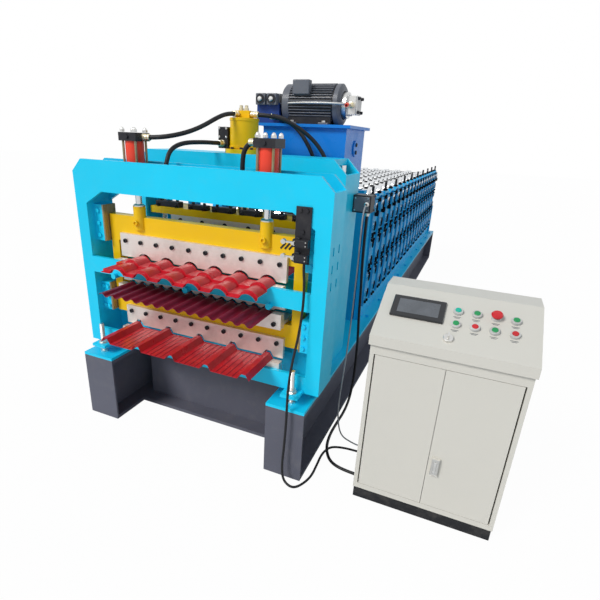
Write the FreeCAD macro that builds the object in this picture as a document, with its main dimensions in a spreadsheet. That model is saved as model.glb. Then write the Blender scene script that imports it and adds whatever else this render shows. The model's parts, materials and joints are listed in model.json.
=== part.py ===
import FreeCAD, Part
import Sketcher
import math
import os
import re

# Three-deck roofing sheet roll forming machine: parametric model in millimetres.
# X is to the right, Y runs from the cutter at the front to the entry at the rear, Z is up.
# The origin is on the floor under the middle of the front cross member.

doc = FreeCAD.newDocument("roll_forming_machine")
sizes = doc.addObject("Spreadsheet::Sheet", "sizes")

SIZES = {
    # base frame of H-beams
    "beam_inset": 30, "beam_width": 200, "beam_height": 384, "beam_flange": 20,
    "beam_web": 14, "beam_overhang": 102, "beam_tail": 110, "end_plate": 10,
    "base_plate": 16, "cross_count": 4, "cross_margin": 125,
    # cutter portal
    "portal_half": 712, "portal_lift": 40, "portal_height": 1055, "portal_corner": 62,
    "portal_plate": 20, "portal_front": -233, "portal_gap": 147, "column_width": 72,
    "column_wall": 12, "window_rise": 900, "window_corner_x": 108, "window_corner_z": 65,
    "window_sill": 127, "crossbar_height": 88, "comb_root": 10, "slot_margin": 60,
    "slot_height": 72, "boss_radius": 15, "boss_reach": 22, "boss_spread": 463,
    "boss_shift": 22, "shelf_lift": 30, "shelf": 20, "shelf_seat": 25,
    # levelling feet of the portal
    "lug_reach": 80, "lug_width": 90, "lug_plate": 15, "lug_inset": 122, "stud_radius": 12,
    "stud_nut": 19, "stud_rise": 170,
    # sheets: underside of the pans on the three decks, above the base plates
    "tile_deck": 550, "corrugated_deck": 406, "rib_deck": 156, "sheet": 1.5,
    "sheet_half": 440, "seat": 0.3, "outfeed": 150, "strip_margin": 67,
    "tile_waves": 6, "tile_crest": 88, "tile_depth": 28, "tile_course": 95, "tile_step": 12,
    "corrugations": 14, "corrugation_depth": 16,
    "ribs": 5, "rib_height": 28, "rib_foot": 62, "rib_crown": 26,
    # moving cutter frame and blades
    "cutter_reach": 93, "frame_set": 8, "frame_thick": 56, "frame_bar": 50, "frame_clear": 8,
    "top_blade_lift": 135, "top_blade_drop": 92, "top_beam_height": 137,
    "middle_beam_height": 30, "low_beam_height": 120, "low_blade_drop": 72,
    "blade": 20, "blade_margin": 51, "blade_gap": 8, "blade_clear": 5,
    "socket_radius": 32, "socket_rise": 56, "socket_drop": 65,
    "rail_height": 58, "middle_rail_height": 70, "rail_thick": 40, "rail_shelf": 20,
    # cutter cylinders
    "cylinder_spread": 370, "head_side": 105, "head_height": 39, "cylinder_height": 259,
    "barrel_radius": 45, "barrel_bore": 35, "rod_radius": 16, "rod_clear": 1,
    "piston_height": 30, "piston_drop": 79, "tie_spread": 38, "tie_radius": 6,
    "cutter_stroke": 30,
    # guides
    "guide_depth": 90, "guide_block": 54, "liner": 10, "slide_gap": 5, "guide_lift": 82,
    "guide_height": 193, "low_guide_lift": 74, "low_guide_height": 164,
    # limit switch bracket
    "bracket_inset": 160, "bracket_width": 70, "bracket_height": 245, "bracket_plate": 8,
    "bracket_foot": 12, "switch_height": 34, "switch_gap": 64,
    "switch_depth": 26, "lever_length": 46, "lever_thick": 8, "lever_wheel": 11,
    # step press
    "press_front": 187, "press_gap": 223, "press_inset": 78, "press_height": 1105,
    "press_corner": 70, "press_window_inset": 34, "press_window_rise": 940,
    "press_wall": 20, "press_roof": 30, "press_lift": 60, "press_slot_wide": 17,
    "press_slot_tall": 40, "press_slot_pitch": 80, "press_slot_drop": 420,
    "table_height": 62, "die_height": 55, "die_lift": 45, "press_beam_height": 40,
    "press_beam_inset": 44, "press_clear": 8, "post_radius": 20, "post_inset": 62,
    "press_rod_radius": 35, "press_barrel_radius": 78, "press_bore_radius": 55,
    "press_barrel_height": 180, "press_flange_radius": 105, "press_flange": 22,
    "press_stroke": 40, "press_piston": 40, "press_cap_bore": 120,
    "port_half": 40, "port_depth": 22, "port_height": 36,
    "valve_width": 60, "valve_half": 45, "valve_height": 110,
    # hydraulic unit
    "tank_left": -5, "tank_width": 510, "tank_clear": 117, "tank_depth": 400,
    "tank_rise": 900, "tank_height": 356, "tank_wall": 5, "lid": 16, "lid_overhang": 26,
    "stand_post": 60, "stand_inset": 74, "stand_rail": 80,
    "motor_left": 75, "motor_length": 345, "motor_radius": 106, "motor_inset": 170,
    "motor_lift": 3, "motor_foot": 180, "motor_foot_inset": 40,
    "pump_length": 97, "pump_radius": 48, "pump_bell": 35, "pump_bell_rim": 22,
    "manifold_left": -80, "manifold_width": 145, "manifold_height": 112,
    "manifold_front": 110, "manifold_back": 60, "manifold_port": 35, "solenoid_radius": 26,
    "solenoid_length": 230, "solenoid_pitch": 72, "solenoid_front": 150,
    # roll stands
    "wall_inset": 112, "wall_plate": 32, "wall_height": 845, "wall_joint": 12,
    "wall_joint_sill": 50, "stations": 19, "pitch": 208, "first_station": 1043,
    "slot_width": 96, "slot_sill": 90, "roll_lift": 722, "roll_deck_pitch": 238,
    "block_clear": 0.2, "block_depth": 60, "cap_plate": 14, "cap_margin": 18,
    "shaft_radius": 34, "shaft_overhang": 25, "drum_margin": 30, "drum_radius": 56,
    "shaft_rise": 60, "collar_width": 60, "collars": 6,
    "bolt_radius": 9, "bolt_rise": 62, "short_bolt_rise": 20,
    # entry table
    "entry_gap": 30, "entry_length": 420, "entry_margin": 40, "entry_leg": 60,
    "entry_drop": 20, "entry_plate": 20, "entry_wing": 140,
    # control cabinet
    "cabinet_gap": 232, "cabinet_width": 616, "cabinet_front": -308, "cabinet_depth": 400,
    "plinth_height": 58, "plinth_inset": 4, "cabinet_top": 812, "cabinet_wall": 4,
    "door_gap": 2, "hinge_gap": 6, "hinge_radius": 4, "hinge_reach": 14, "hinge_clear": 0.1,
    "door_margin": 18, "door_sill": 26, "door_head": 46, "door": 18,
    "lip_height": 44, "lip_reach": 14, "desk_top": 1000, "desk_slope": 285,
    "screen_width": 205, "screen_height": 118, "screen_rise": 12, "screen_left": 55,
    "screen_low": 150, "button_radius": 14, "button_rise": 18, "button_left": 300,
    "button_pitch": 73, "button_low": 110, "button_high": 195,
    "key_radius": 9, "key_rise": 12, "key_low": 45,
    "handle_height": 88, "handle_width": 34, "handle_rise": 12, "handle_sill": 260,
    "handle_inset": 14,
    # junction box, hoses and cables
    "junction_reach": 96, "junction_depth": 90, "junction_height": 90, "junction_lift": 840,
    "hose": 22, "switch_cable": 12, "supply_cable": 16, "signal_cable": 8,
}

# Places that follow from the sizes
PLACES = {
    "plate_top": "beam_height + base_plate",
    "wall_start": "first_station - pitch / 2",
    "wall_end": "first_station + (stations - 0.5) * pitch",
    "beam_front": "portal_front - beam_overhang",
    "beam_end": "wall_end + beam_tail",
    "beam_outer": "portal_half - beam_inset",
    "cross_pitch": "(beam_end - cross_margin) / (cross_count - 1)",
    "portal_bottom": "plate_top + portal_lift",
    "portal_top": "plate_top + portal_height",
    "portal_rear": "portal_front + portal_plate + portal_gap",
    "portal_back": "portal_rear + portal_plate",
    "window_half": "portal_half - column_width",
    "window_top": "plate_top + window_rise",
    "window_bottom": "plate_top + window_sill",
    "shelf_top": "window_top + shelf_lift",
    "lug_axis": "portal_half - lug_inset",
    "stud_top": "plate_top + stud_rise",
    "tile_level": "plate_top + tile_deck",
    "corrugated_level": "plate_top + corrugated_deck",
    "rib_level": "plate_top + rib_deck",
    "slot_half": "sheet_half + slot_margin",
    "cutter_axis": "portal_front + cutter_reach",
    "frame_front": "cutter_axis - frame_set",
    "frame_back": "frame_front + frame_thick",
    "frame_half": "window_half - guide_block - liner - slide_gap",
    "tile_blade_top": "tile_level + top_blade_lift",
    "frame_top": "tile_blade_top + top_blade_drop",
    "middle_bottom": "corrugated_level + sheet + corrugation_depth + cutter_stroke + frame_clear",
    "middle_top": "middle_bottom + middle_beam_height",
    "low_beam_bottom": "rib_level + sheet + rib_height + cutter_stroke + frame_clear",
    "low_beam_top": "low_beam_bottom + low_beam_height",
    "rib_blade_top": "low_beam_top - low_blade_drop",
    "blade_front": "frame_front - blade",
    "blade_half": "sheet_half + blade_margin",
    "cut_end": "blade_front - blade_clear",
    "strip_start": "frame_front + blade_clear",
    "strip_end": "press_front - strip_margin",
    "socket_top": "frame_top + socket_rise",
    "socket_bottom": "frame_top - socket_drop",
    "head_top": "shelf_top + cylinder_height",
    "piston_top": "head_top - piston_drop",
    "guide_bottom": "tile_level + guide_lift",
    "guide_top": "guide_bottom + guide_height",
    "low_guide_bottom": "rib_level + low_guide_lift",
    "low_guide_top": "low_guide_bottom + low_guide_height",
    "bracket_left": "portal_half - bracket_inset",
    "bracket_top": "shelf_top",
    "bracket_bottom": "bracket_top - bracket_height",
    "press_rear": "press_front + portal_plate + press_gap",
    "press_back": "press_rear + portal_plate",
    "press_middle": "press_front + portal_plate + press_gap / 2",
    "press_half": "portal_half - press_inset",
    "press_top": "plate_top + press_height",
    "press_window_half": "press_half - press_window_inset",
    "press_window_top": "plate_top + press_window_rise",
    "press_level": "tile_level + press_lift",
    "press_beam_half": "press_half - press_beam_inset",
    "post_spread": "press_half - post_inset",
    "press_cap": "press_top + press_barrel_height",
    "tank_front": "press_back + tank_clear",
    "tank_bottom": "plate_top + tank_rise",
    "lid_top": "tank_bottom + tank_height + lid",
    "stand_half": "press_half - stand_inset",
    "wall_half": "portal_half - wall_inset",
    "wall_top": "plate_top + wall_height",
    "slot_bottom": "plate_top + slot_sill",
    "tile_roll_level": "plate_top + roll_lift",
    "shaft_end": "wall_half + shaft_overhang",
    "drum_half": "sheet_half + drum_margin",
    "entry_start": "wall_end + entry_gap",
    "entry_half": "sheet_half + entry_margin",
    "cabinet_left": "portal_half + cabinet_gap",
    "cabinet_right": "cabinet_left + cabinet_width",
    "cabinet_back": "cabinet_front + cabinet_depth",
    "junction_bottom": "plate_top + junction_lift",
}

for row, (alias, number) in enumerate(SIZES.items(), start=1):
    sizes.set(f"A{row}", alias.replace("_", " "))
    sizes.set(f"B{row}", str(number))
    sizes.setAlias(f"B{row}", alias)
doc.recompute()


def bound(text):
    """Turn the names of sizes and places in an expression into references to the sheet."""
    def refer(match):
        word = match.group()
        if word in PLACES:
            return f"({bound(PLACES[word])})"
        return f"sizes.{word}" if word in SIZES else word
    return re.sub(r"[a-z_]+", refer, text)


def value(text):
    """Work out an expression of size names as a number."""
    return float(sizes.evalExpression(bound(text)))


def bind(item, place, text):
    item.setExpression(place, bound(text))


def box(name, x, y, z):
    """A box between pairs of expressions, the low and the high side on each axis."""
    item = doc.addObject("Part::Box", name)
    for side, axis, (low, high) in (("Length", "x", x), ("Width", "y", y), ("Height", "z", z)):
        bind(item, side, f"({high}) - ({low})")
        bind(item, f"Placement.Base.{axis}", low)
    return item


TURNS = {
    "X": FreeCAD.Rotation(FreeCAD.Vector(0, 1, 0), 90),
    "Y": FreeCAD.Rotation(FreeCAD.Vector(1, 0, 0), -90),
    "Z": FreeCAD.Rotation(),
}


def rod(name, axis, start, length, radius):
    """A cylinder from a start point of three expressions, along +X, +Y or +Z."""
    item = doc.addObject("Part::Cylinder", name)
    item.Placement.Rotation = TURNS[axis]
    bind(item, "Radius", radius)
    bind(item, "Height", length)
    for side, text in zip("xyz", start):
        bind(item, f"Placement.Base.{side}", text)
    return item


def cut(name, base, tools):
    """The base less every tool."""
    joined = tools[0]
    if len(tools) > 1:
        joined = doc.addObject("Part::MultiFuse", name + "_tools")
        joined.Shapes = tools
    item = doc.addObject("Part::Cut", name)
    item.Base = base
    item.Tool = joined
    return item


def weld(name, pieces):
    """One solid of pieces that touch or overlap."""
    item = doc.addObject("Part::MultiFuse", name)
    item.Shapes = pieces
    item.Refine = True
    return item


def group(name, pieces):
    """Like pieces of one node that stay separate solids."""
    item = doc.addObject("Part::Compound", name)
    item.Links = pieces
    return item


def origin_part(body, role):
    return [part for part in body.Origin.OriginFeatures if part.Role == role][0]


def new_sketch(body, plane, name, offset="0", rise="0"):
    """A sketch on an origin plane, moved along its normal and up its own Y."""
    sketch = body.newObject("Sketcher::SketchObject", name)
    sketch.AttachmentSupport = [(origin_part(body, plane + "_Plane"), "")]
    sketch.MapMode = "FlatFace"
    normal = f"-({offset})" if plane == "XZ" else offset
    bind(sketch, "AttachmentOffset.Base.z", normal)
    bind(sketch, "AttachmentOffset.Base.y", rise)
    return sketch


def fix_point(sketch, line, end, point, at):
    """Tie one end of a line to its place, given as two expressions from the sketch origin."""
    for kind, text, now, axis in (("DistanceX", point[0], at.x, -2), ("DistanceY", point[1], at.y, -1)):
        if text == "0":
            sketch.addConstraint(Sketcher.Constraint("PointOnObject", line, end, axis))
        else:
            index = sketch.addConstraint(Sketcher.Constraint(kind, -1, 1, line, end, now))
            bind(sketch, f"Constraints[{index}]", text)


def outline(sketch, points):
    """A closed polygon whose corners are expressions of the sizes."""
    first = sketch.GeometryCount
    at = [FreeCAD.Vector(value(u), value(v), 0) for u, v in points]
    count = len(points)
    for i in range(count):
        sketch.addGeometry(Part.LineSegment(at[i], at[(i + 1) % count]))
    for i in range(count):
        ends = (first + i, 2, first + (i + 1) % count, 1)
        sketch.addConstraint(Sketcher.Constraint("Coincident", *ends))
    for i in range(count):
        fix_point(sketch, first + i, 1, points[i], at[i])


def hole(sketch, centre, radius):
    """A circle tied to its centre and radius."""
    at = FreeCAD.Vector(value(centre[0]), value(centre[1]), 0)
    index = sketch.addGeometry(Part.Circle(at, FreeCAD.Vector(0, 0, 1), value(radius)))
    fix_point(sketch, index, 3, centre, at)
    size = sketch.addConstraint(Sketcher.Constraint("Radius", index, value(radius)))
    bind(sketch, f"Constraints[{size}]", radius)


def plate(name, plane, loops, low, high, holes=()):
    """A body padded from outlines on a plane, between two places along its normal."""
    body = doc.addObject("PartDesign::Body", name)
    sketch = new_sketch(body, plane, name + "_outline", high if plane == "XZ" else low)
    for loop in loops:
        outline(sketch, loop)
    for centre, radius in holes:
        hole(sketch, centre, radius)
    pad = body.newObject("PartDesign::Pad", name + "_pad")
    pad.Profile = sketch
    bind(pad, "Length", f"({high}) - ({low})")
    body.Tip = pad
    return body


def rectangle(x, y):
    """Corners of a rectangle from its low and high sides."""
    return [(x[0], y[0]), (x[1], y[0]), (x[1], y[1]), (x[0], y[1])]


def mirrored(text):
    """A pair of expressions on the right side, given on the left one."""
    return (f"-({text[1]})", f"-({text[0]})")


def repeat(body, feature, name, count, step):
    """Copy a feature along the machine, once for each station."""
    pattern = body.newObject("PartDesign::LinearPattern", name)
    pattern.Originals = [feature]
    pattern.Direction = (origin_part(body, "Y_Axis"), [""])
    bind(pattern, "Length", f"({count} - 1) * {step}")
    bind(pattern, "Occurrences", count)
    body.Tip = pattern
    return pattern


DECKS = ("tile_level", "corrugated_level", "rib_level")


def base_frame():
    """Two H-beams with closed ends, their cross members and blue base plates."""
    beams = []
    plates = []
    end = "beam_end"
    web_out = "beam_outer - (beam_width - beam_web) / 2"
    web_in = "beam_outer - (beam_width + beam_web) / 2"
    inner = "beam_outer - beam_width"
    section = [
        (inner, "0"), ("beam_outer", "0"), ("beam_outer", "beam_flange"),
        (web_out, "beam_flange"), (web_out, "beam_height - beam_flange"),
        ("beam_outer", "beam_height - beam_flange"), ("beam_outer", "beam_height"),
        (inner, "beam_height"), (inner, "beam_height - beam_flange"),
        (web_in, "beam_height - beam_flange"), (web_in, "beam_flange"), (inner, "beam_flange"),
    ]
    for side, sign in (("left", "-"), ("right", "")):
        points = [(f"{sign}({x})", z) for x, z in section]
        beam = plate(f"beam_{side}", "XZ", [points], "beam_front + end_plate", f"{end} - end_plate")
        x = (inner, "beam_outer") if side == "right" else mirrored((inner, "beam_outer"))
        caps = [
            box(f"beam_cap_{side}_front", x, ("beam_front", "beam_front + end_plate"), ("0", "beam_height")),
            box(f"beam_cap_{side}_rear", x, (f"{end} - end_plate", end), ("0", "beam_height")),
        ]
        beams.append(weld(f"beam_{side}_welded", [beam] + caps))
        plates.append(box(f"base_plate_{side}", x, ("beam_front", end), ("beam_height", "plate_top")))
    half = "beam_width / 2"
    across = [
        (f"-{half}", "0"), (half, "0"), (half, "beam_flange"), ("beam_web / 2", "beam_flange"),
        ("beam_web / 2", "beam_height - beam_flange"), (half, "beam_height - beam_flange"),
        (half, "beam_height"), (f"-{half}", "beam_height"), (f"-{half}", "beam_height - beam_flange"),
        ("-beam_web / 2", "beam_height - beam_flange"), ("-beam_web / 2", "beam_flange"),
        (f"-{half}", "beam_flange"),
    ]
    cross = plate("cross_members", "YZ", [across], f"-({inner})", inner)
    repeat(cross, cross.Tip, "cross_pattern", "cross_count", "cross_pitch")
    return [group("base_beams", beams), cross, group("base_plates", plates)]


def portal_outline(half, top, bottom, corner):
    """A tall plate with clipped upper corners."""
    return [
        (f"-{half}", bottom), (half, bottom), (half, f"{top} - {corner}"), (f"{half} - {corner}", top),
        (f"-{half} + {corner}", top), (f"-{half}", f"{top} - {corner}"),
    ]


def window_outline(half, top, bottom):
    """An opening with clipped upper corners."""
    return [
        (f"-{half}", bottom), (half, bottom), (half, f"{top} - window_corner_z"),
        (f"{half} - window_corner_x", top), (f"-{half} + window_corner_x", top),
        (f"-{half}", f"{top} - window_corner_z"),
    ]


def deck_slots():
    """Openings in a plate for the strips on the two lower decks."""
    return [
        rectangle(("-slot_half", "slot_half"), (f"{deck} - seat", f"{deck} + slot_height"))
        for deck in DECKS[1:]
    ]


def cutter_portal():
    """Front plate with two windows, rear plate with strip slots, columns, shelf and feet."""
    body = portal_outline("portal_half", "portal_top", "portal_bottom", "portal_corner")
    crossbar = "tile_level - seat - crossbar_height"
    low_window = rectangle(("-window_half", "window_half"), ("window_bottom", crossbar))
    high_window = window_outline("window_half", "window_top", "tile_level - seat")
    blank = plate("cutter_front_blank", "XZ", [body, high_window, low_window],
                  "portal_front", "portal_front + portal_plate")
    bosses = [
        rod(f"crossbar_boss_{i}", "Y", (f"({i} - 1) * boss_spread - boss_shift", "portal_front - boss_reach",
            crossbar), "boss_reach + portal_plate", "boss_radius")
        for i in range(3)
    ]
    front = weld("cutter_front_plate", [blank, crossbar_comb()] + bosses)
    rear = group("cutter_rear_plate", rear_plate())
    gap = ("portal_front + portal_plate", "portal_rear")
    walls = []
    for side in ("right", "left"):
        outer = ("portal_half - portal_plate", "portal_half")
        inner = ("window_half", "window_half + column_wall")
        if side == "left":
            outer, inner = mirrored(outer), mirrored(inner)
        wall = box(f"side_plate_{side}", outer, gap, ("portal_bottom", "portal_top - portal_corner"))
        walls.append(cut(f"side_plate_{side}_slotted", wall, side_slots(side, outer)))
        walls.append(box(f"reveal_plate_{side}", inner, gap, ("portal_bottom", "shelf_top - shelf")))
    shelf_x = ("-window_half - shelf_seat", "window_half + shelf_seat")
    shelf = box("cylinder_shelf_blank", shelf_x, gap, ("shelf_top - shelf", "shelf_top"))
    bores = [
        rod(f"shelf_bore_{i}", "Z", (f"{sign}cylinder_spread", "cutter_axis", "shelf_top - shelf - 1"),
            "shelf + 2", "rod_radius + rod_clear")
        for i, sign in enumerate(("-", ""))
    ]
    walls.append(cut("cylinder_shelf", shelf, bores))
    return [front, rear, group("cutter_columns", walls), group("levelling_feet", levelling_feet())]


def rear_plate():
    """The rear face: an arch over the window, and flat bars between the strip slots below it."""
    half, window, sill = "portal_half", "window_half", "tile_level - seat"
    arch = [
        (window, sill), (half, sill), (half, "portal_top - portal_corner"), (f"{half} - portal_corner", "portal_top"),
        (f"-{half} + portal_corner", "portal_top"), (f"-{half}", "portal_top - portal_corner"), (f"-{half}", sill),
        (f"-{window}", sill), (f"-{window}", "window_top - window_corner_z"),
        (f"-{window} + window_corner_x", "window_top"), (f"{window} - window_corner_x", "window_top"),
        (window, "window_top - window_corner_z"),
    ]
    pieces = [plate("rear_arch", "XZ", [arch], "portal_rear", "portal_back")]
    y = ("portal_rear", "portal_back")
    low = "portal_bottom"
    for deck in ("rib_level", "corrugated_level"):
        slot = (f"{deck} - seat", f"{deck} + slot_height")
        pieces.append(box(f"rear_bar_under_{deck[:-6]}", (f"-{half}", half), y, (low, slot[0])))
        pieces.append(box(f"rear_post_left_{deck[:-6]}", (f"-{half}", "-slot_half"), y, slot))
        pieces.append(box(f"rear_post_right_{deck[:-6]}", ("slot_half", half), y, slot))
        low = slot[1]
    pieces.append(box("rear_bar_under_tile", (f"-{half}", half), y, (low, sill)))
    return pieces


def crossbar_comb():
    """The profiled upper edge of the crossbar, which fills the waves of the tile sheet."""
    y = value("portal_front")
    half = value("sheet_half")
    bottom = value("tile_level - seat - comb_root")
    edges = profile_edges("tile_level", y, -value("seat"))
    return feature("crossbar_comb", closed_prism(edges, [(half, y, bottom), (-half, y, bottom)],
                                                 value("portal_plate")))


def side_slots(side, x):
    """Two columns of small slots through the outer plate of the portal."""
    tools = []
    for row in range(3):
        for column in range(2):
            y = f"(portal_front + portal_back) / 2 + ({column} - 0.5) * press_slot_pitch"
            low = f"portal_top - 0.7 * press_slot_drop - {row} * press_slot_pitch"
            tools.append(box(f"side_slot_{side}_{row}_{column}", (f"{x[0]} - 1", f"{x[1]} + 1"),
                             (f"{y} - press_slot_wide / 2", f"{y} + press_slot_wide / 2"),
                             (f"{low} - press_slot_tall", low)))
    return tools


def levelling_feet():
    """Lugs at the foot of both portal faces, each on its threaded stud."""
    pieces = []
    for face, y in (("front", ("portal_front - lug_reach", "portal_front")),
                    ("rear", ("portal_back", "portal_back + lug_reach"))):
        for side, sign in (("left", "-"), ("right", "")):
            name = f"{face}_lug_{side}"
            x = f"{sign}lug_axis"
            middle = f"({y[0]} + {y[1]}) / 2"
            lug = box(name, (f"{x} - lug_width / 2", f"{x} + lug_width / 2"), y,
                      ("portal_bottom", "portal_bottom + lug_plate"))
            bore = rod(name + "_bore", "Z", (x, middle, "portal_bottom - 1"), "lug_plate + 2",
                       "stud_radius + rod_clear")
            pieces.append(cut(name + "_drilled", lug, [bore]))
            pieces.append(levelling_stud(f"{face}_stud_{side}", x, middle))
    return pieces


def hex_prism(name, centre, low, height, across):
    """A hexagonal nut blank."""
    item = doc.addObject("Part::Prism", name)
    item.Polygon = 6
    bind(item, "Circumradius", f"{across}")
    bind(item, "Height", height)
    bind(item, "Placement.Base.x", centre[0])
    bind(item, "Placement.Base.y", centre[1])
    bind(item, "Placement.Base.z", low)
    return item


def levelling_stud(name, x, y):
    """A threaded stud with a nut under and a nut over its lug."""
    return weld(name, [
        rod(name + "_shank", "Z", (x, y, "plate_top"), "stud_rise", "stud_radius"),
        hex_prism(name + "_nut_low", (x, y), "portal_bottom - stud_nut", "stud_nut", "stud_radius * 1.8"),
        hex_prism(name + "_nut_top", (x, y), "portal_bottom + lug_plate", "stud_nut", "stud_radius * 1.8"),
        hex_prism(name + "_foot", (x, y), "plate_top", "stud_nut / 2", "stud_radius * 1.8"),
    ])


def arc_through(a, middle, b):
    return Part.Arc(FreeCAD.Vector(*a), FreeCAD.Vector(*middle), FreeCAD.Vector(*b)).toShape()


def line(a, b):
    return Part.LineSegment(FreeCAD.Vector(*a), FreeCAD.Vector(*b)).toShape()


def tile_points():
    """Knots of the tile sheet: broad pans with round crests between them."""
    half = value("sheet_half")
    waves = int(value("tile_waves"))
    depth = value("tile_depth")
    wave = 2 * half / waves
    pan = wave - value("tile_crest")
    knots = []
    for i in range(waves):
        left = -half + i * wave
        knots.append(((left, 0), (left + pan, 0), False))
        knots.append(((left + pan, 0), (left + wave, 0), depth))
    return knots


def corrugated_points():
    """Knots of the corrugated sheet: even round waves."""
    half = value("sheet_half")
    count = int(value("corrugations")) * 2
    depth = value("corrugation_depth")
    wave = 2 * half / count
    middle = depth / 2
    knots = []
    for i in range(count):
        left = -half + i * wave
        knots.append(((left, middle), (left + wave, middle), middle if i % 2 == 0 else -middle))
    return knots


def rib_points():
    """Knots of the rib sheet: flat pans between trapezoid ribs."""
    half = value("sheet_half")
    count = int(value("ribs"))
    foot, crown, height = value("rib_foot"), value("rib_crown"), value("rib_height")
    pitch = (2 * half - foot) / (count - 1)
    corners = []
    for i in range(count):
        centre = -half + foot / 2 + i * pitch
        corners += [(centre - foot / 2, 0), (centre - crown / 2, height),
                    (centre + crown / 2, height), (centre + foot / 2, 0)]
    return [(a, b, False) for a, b in zip(corners, corners[1:])]


PROFILES = {
    "tile_level": tile_points, "corrugated_level": corrugated_points, "rib_level": rib_points,
}


def profile_edges(deck, y, lift=0.0):
    """The underside line of a deck's sheet, as edges in the plane at y, from left to right."""
    level = value(deck) + lift
    edges = []
    for a, b, bulge in PROFILES[deck]():
        start = (a[0], y, level + a[1])
        end = (b[0], y, level + b[1])
        if bulge:
            middle = ((a[0] + b[0]) / 2, y, level + (a[1] + b[1]) / 2 + bulge)
            edges.append(arc_through(start, middle, end))
        else:
            edges.append(line(start, end))
    return edges


def closed_prism(edges, corners, length):
    """Close a line of edges over the given corners, and push it along +Y."""
    chain = [edges[0].Vertexes[0].Point] + [FreeCAD.Vector(*corner) for corner in corners]
    first = edges[0].valueAt(edges[0].FirstParameter)
    last = edges[-1].valueAt(edges[-1].LastParameter)
    points = [last] + chain[1:] + [first]
    closing = [Part.LineSegment(a, b).toShape() for a, b in zip(points, points[1:])]
    wire = Part.Wire(edges + closing)
    return Part.Face(wire).extrude(FreeCAD.Vector(0, length, 0))


def sheet_solid(deck, start, end, lift=0.0):
    """A stretch of formed sheet: the underside line, thickened straight up."""
    low = profile_edges(deck, start, lift)
    thick = value("sheet")
    high = [edge.translated(FreeCAD.Vector(0, 0, thick)) for edge in low]
    first = low[0].valueAt(low[0].FirstParameter)
    last = low[-1].valueAt(low[-1].LastParameter)
    up = FreeCAD.Vector(0, 0, thick)
    wire = Part.Wire(low + [Part.LineSegment(last, last + up).toShape()] + high[::-1]
                     + [Part.LineSegment(first + up, first).toShape()])
    return Part.Face(wire).extrude(FreeCAD.Vector(0, end - start, 0))


def feature(name, shape):
    item = doc.addObject("Part::Feature", name)
    item.Shape = shape
    return item


def strip(name, deck, front):
    """One deck's sheet: the length already cut off, and the strip behind the blade."""
    cut_end, strip_start = value("cut_end"), value("strip_start")
    strip_solid = sheet_solid(deck, strip_start, value("strip_end"))
    if deck == "tile_level":
        course, step = value("tile_course"), value("tile_step")
        length = cut_end - front
        count = max(1, math.ceil(length / course))
        solids = []
        for i in range(count):
            start = cut_end - (i + 1) * course
            drop = -step * i
            solids.append(sheet_solid(deck, max(start, front), cut_end - i * course, drop))
            if i:
                riser = profile_edges(deck, cut_end - i * course, drop)
                solids.append(riser_solid(riser, step))
        front_solid = solids[0].multiFuse(solids[1:]).removeSplitter()
    else:
        front_solid = sheet_solid(deck, front, cut_end)
    return feature(name, Part.makeCompound([front_solid, strip_solid]))


def riser_solid(edges, step):
    """The upright step between two tile courses."""
    thick = value("sheet")
    first = edges[0].valueAt(edges[0].FirstParameter)
    last = edges[-1].valueAt(edges[-1].LastParameter)
    up = FreeCAD.Vector(0, 0, step + thick)
    high = [edge.translated(up) for edge in edges]
    wire = Part.Wire(edges + [Part.LineSegment(last, last + up).toShape()] + high[::-1]
                     + [Part.LineSegment(first + up, first).toShape()])
    return Part.Face(wire).extrude(FreeCAD.Vector(0, -thick, 0))


def roofing_sheets():
    front = value("portal_front - outfeed")
    return [
        strip("tile_sheet", "tile_level", front),
        strip("corrugated_sheet", "corrugated_level", front - 26),
        strip("rib_sheet", "rib_level", front - 52),
    ]


def upper_blade(deck, top):
    """A moving blade whose lower edge follows the top of its sheet."""
    y = value("blade_front")
    lift = value("sheet + blade_gap")
    edges = profile_edges(deck, y, lift)
    half = value("blade_half")
    low = edges[0].valueAt(edges[0].FirstParameter).z
    ends = [line((-half, y, low), (-value("sheet_half"), y, low))]
    ends2 = [line((value("sheet_half"), y, low), (half, y, low))]
    return closed_prism(ends + edges + ends2, [(half, y, top), (-half, y, top)], value("blade"))


def lower_blade(deck):
    """A fixed blade whose upper edge carries the sheet, behind the front plate."""
    y = value("portal_front + portal_plate")
    edges = profile_edges(deck, y, -value("seat"))
    half = value("blade_half")
    low = edges[0].valueAt(edges[0].FirstParameter).z
    depth = "middle_rail_height" if deck == "corrugated_level" else "rail_height"
    bottom = value(f"{deck} - {depth}")
    sheet_half = value("sheet_half")
    chain = [line((-half, y, low), (-sheet_half, y, low))] + edges + [line((sheet_half, y, low), (half, y, low))]
    return closed_prism(chain, [(half, y, bottom), (-half, y, bottom)], value("rail_thick"))


def cutter_frame():
    """The yellow frame that carries the blades, with its two rod sockets."""
    inner = "frame_half - frame_bar"
    body = doc.addObject("PartDesign::Body", "cutter_frame")
    sketch = new_sketch(body, "XZ", "frame_outline", "frame_back")
    outline(sketch, rectangle(("-frame_half", "frame_half"), ("low_beam_bottom", "frame_top")))
    outline(sketch, rectangle((f"-({inner})", inner), ("low_beam_top", "middle_bottom")))
    outline(sketch, rectangle((f"-({inner})", inner), ("middle_top", "frame_top - top_beam_height")))
    pad = body.newObject("PartDesign::Pad", "frame_pad")
    pad.Profile = sketch
    bind(pad, "Length", "frame_thick")
    sockets = new_sketch(body, "XY", "rod_sockets", "socket_bottom")
    for sign in ("-", ""):
        hole(sockets, (f"{sign}cylinder_spread", "cutter_axis"), "socket_radius")
    socket_pad = body.newObject("PartDesign::Pad", "socket_pad")
    socket_pad.Profile = sockets
    bind(socket_pad, "Length", "socket_top - socket_bottom")
    body.Tip = socket_pad
    return body


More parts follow.
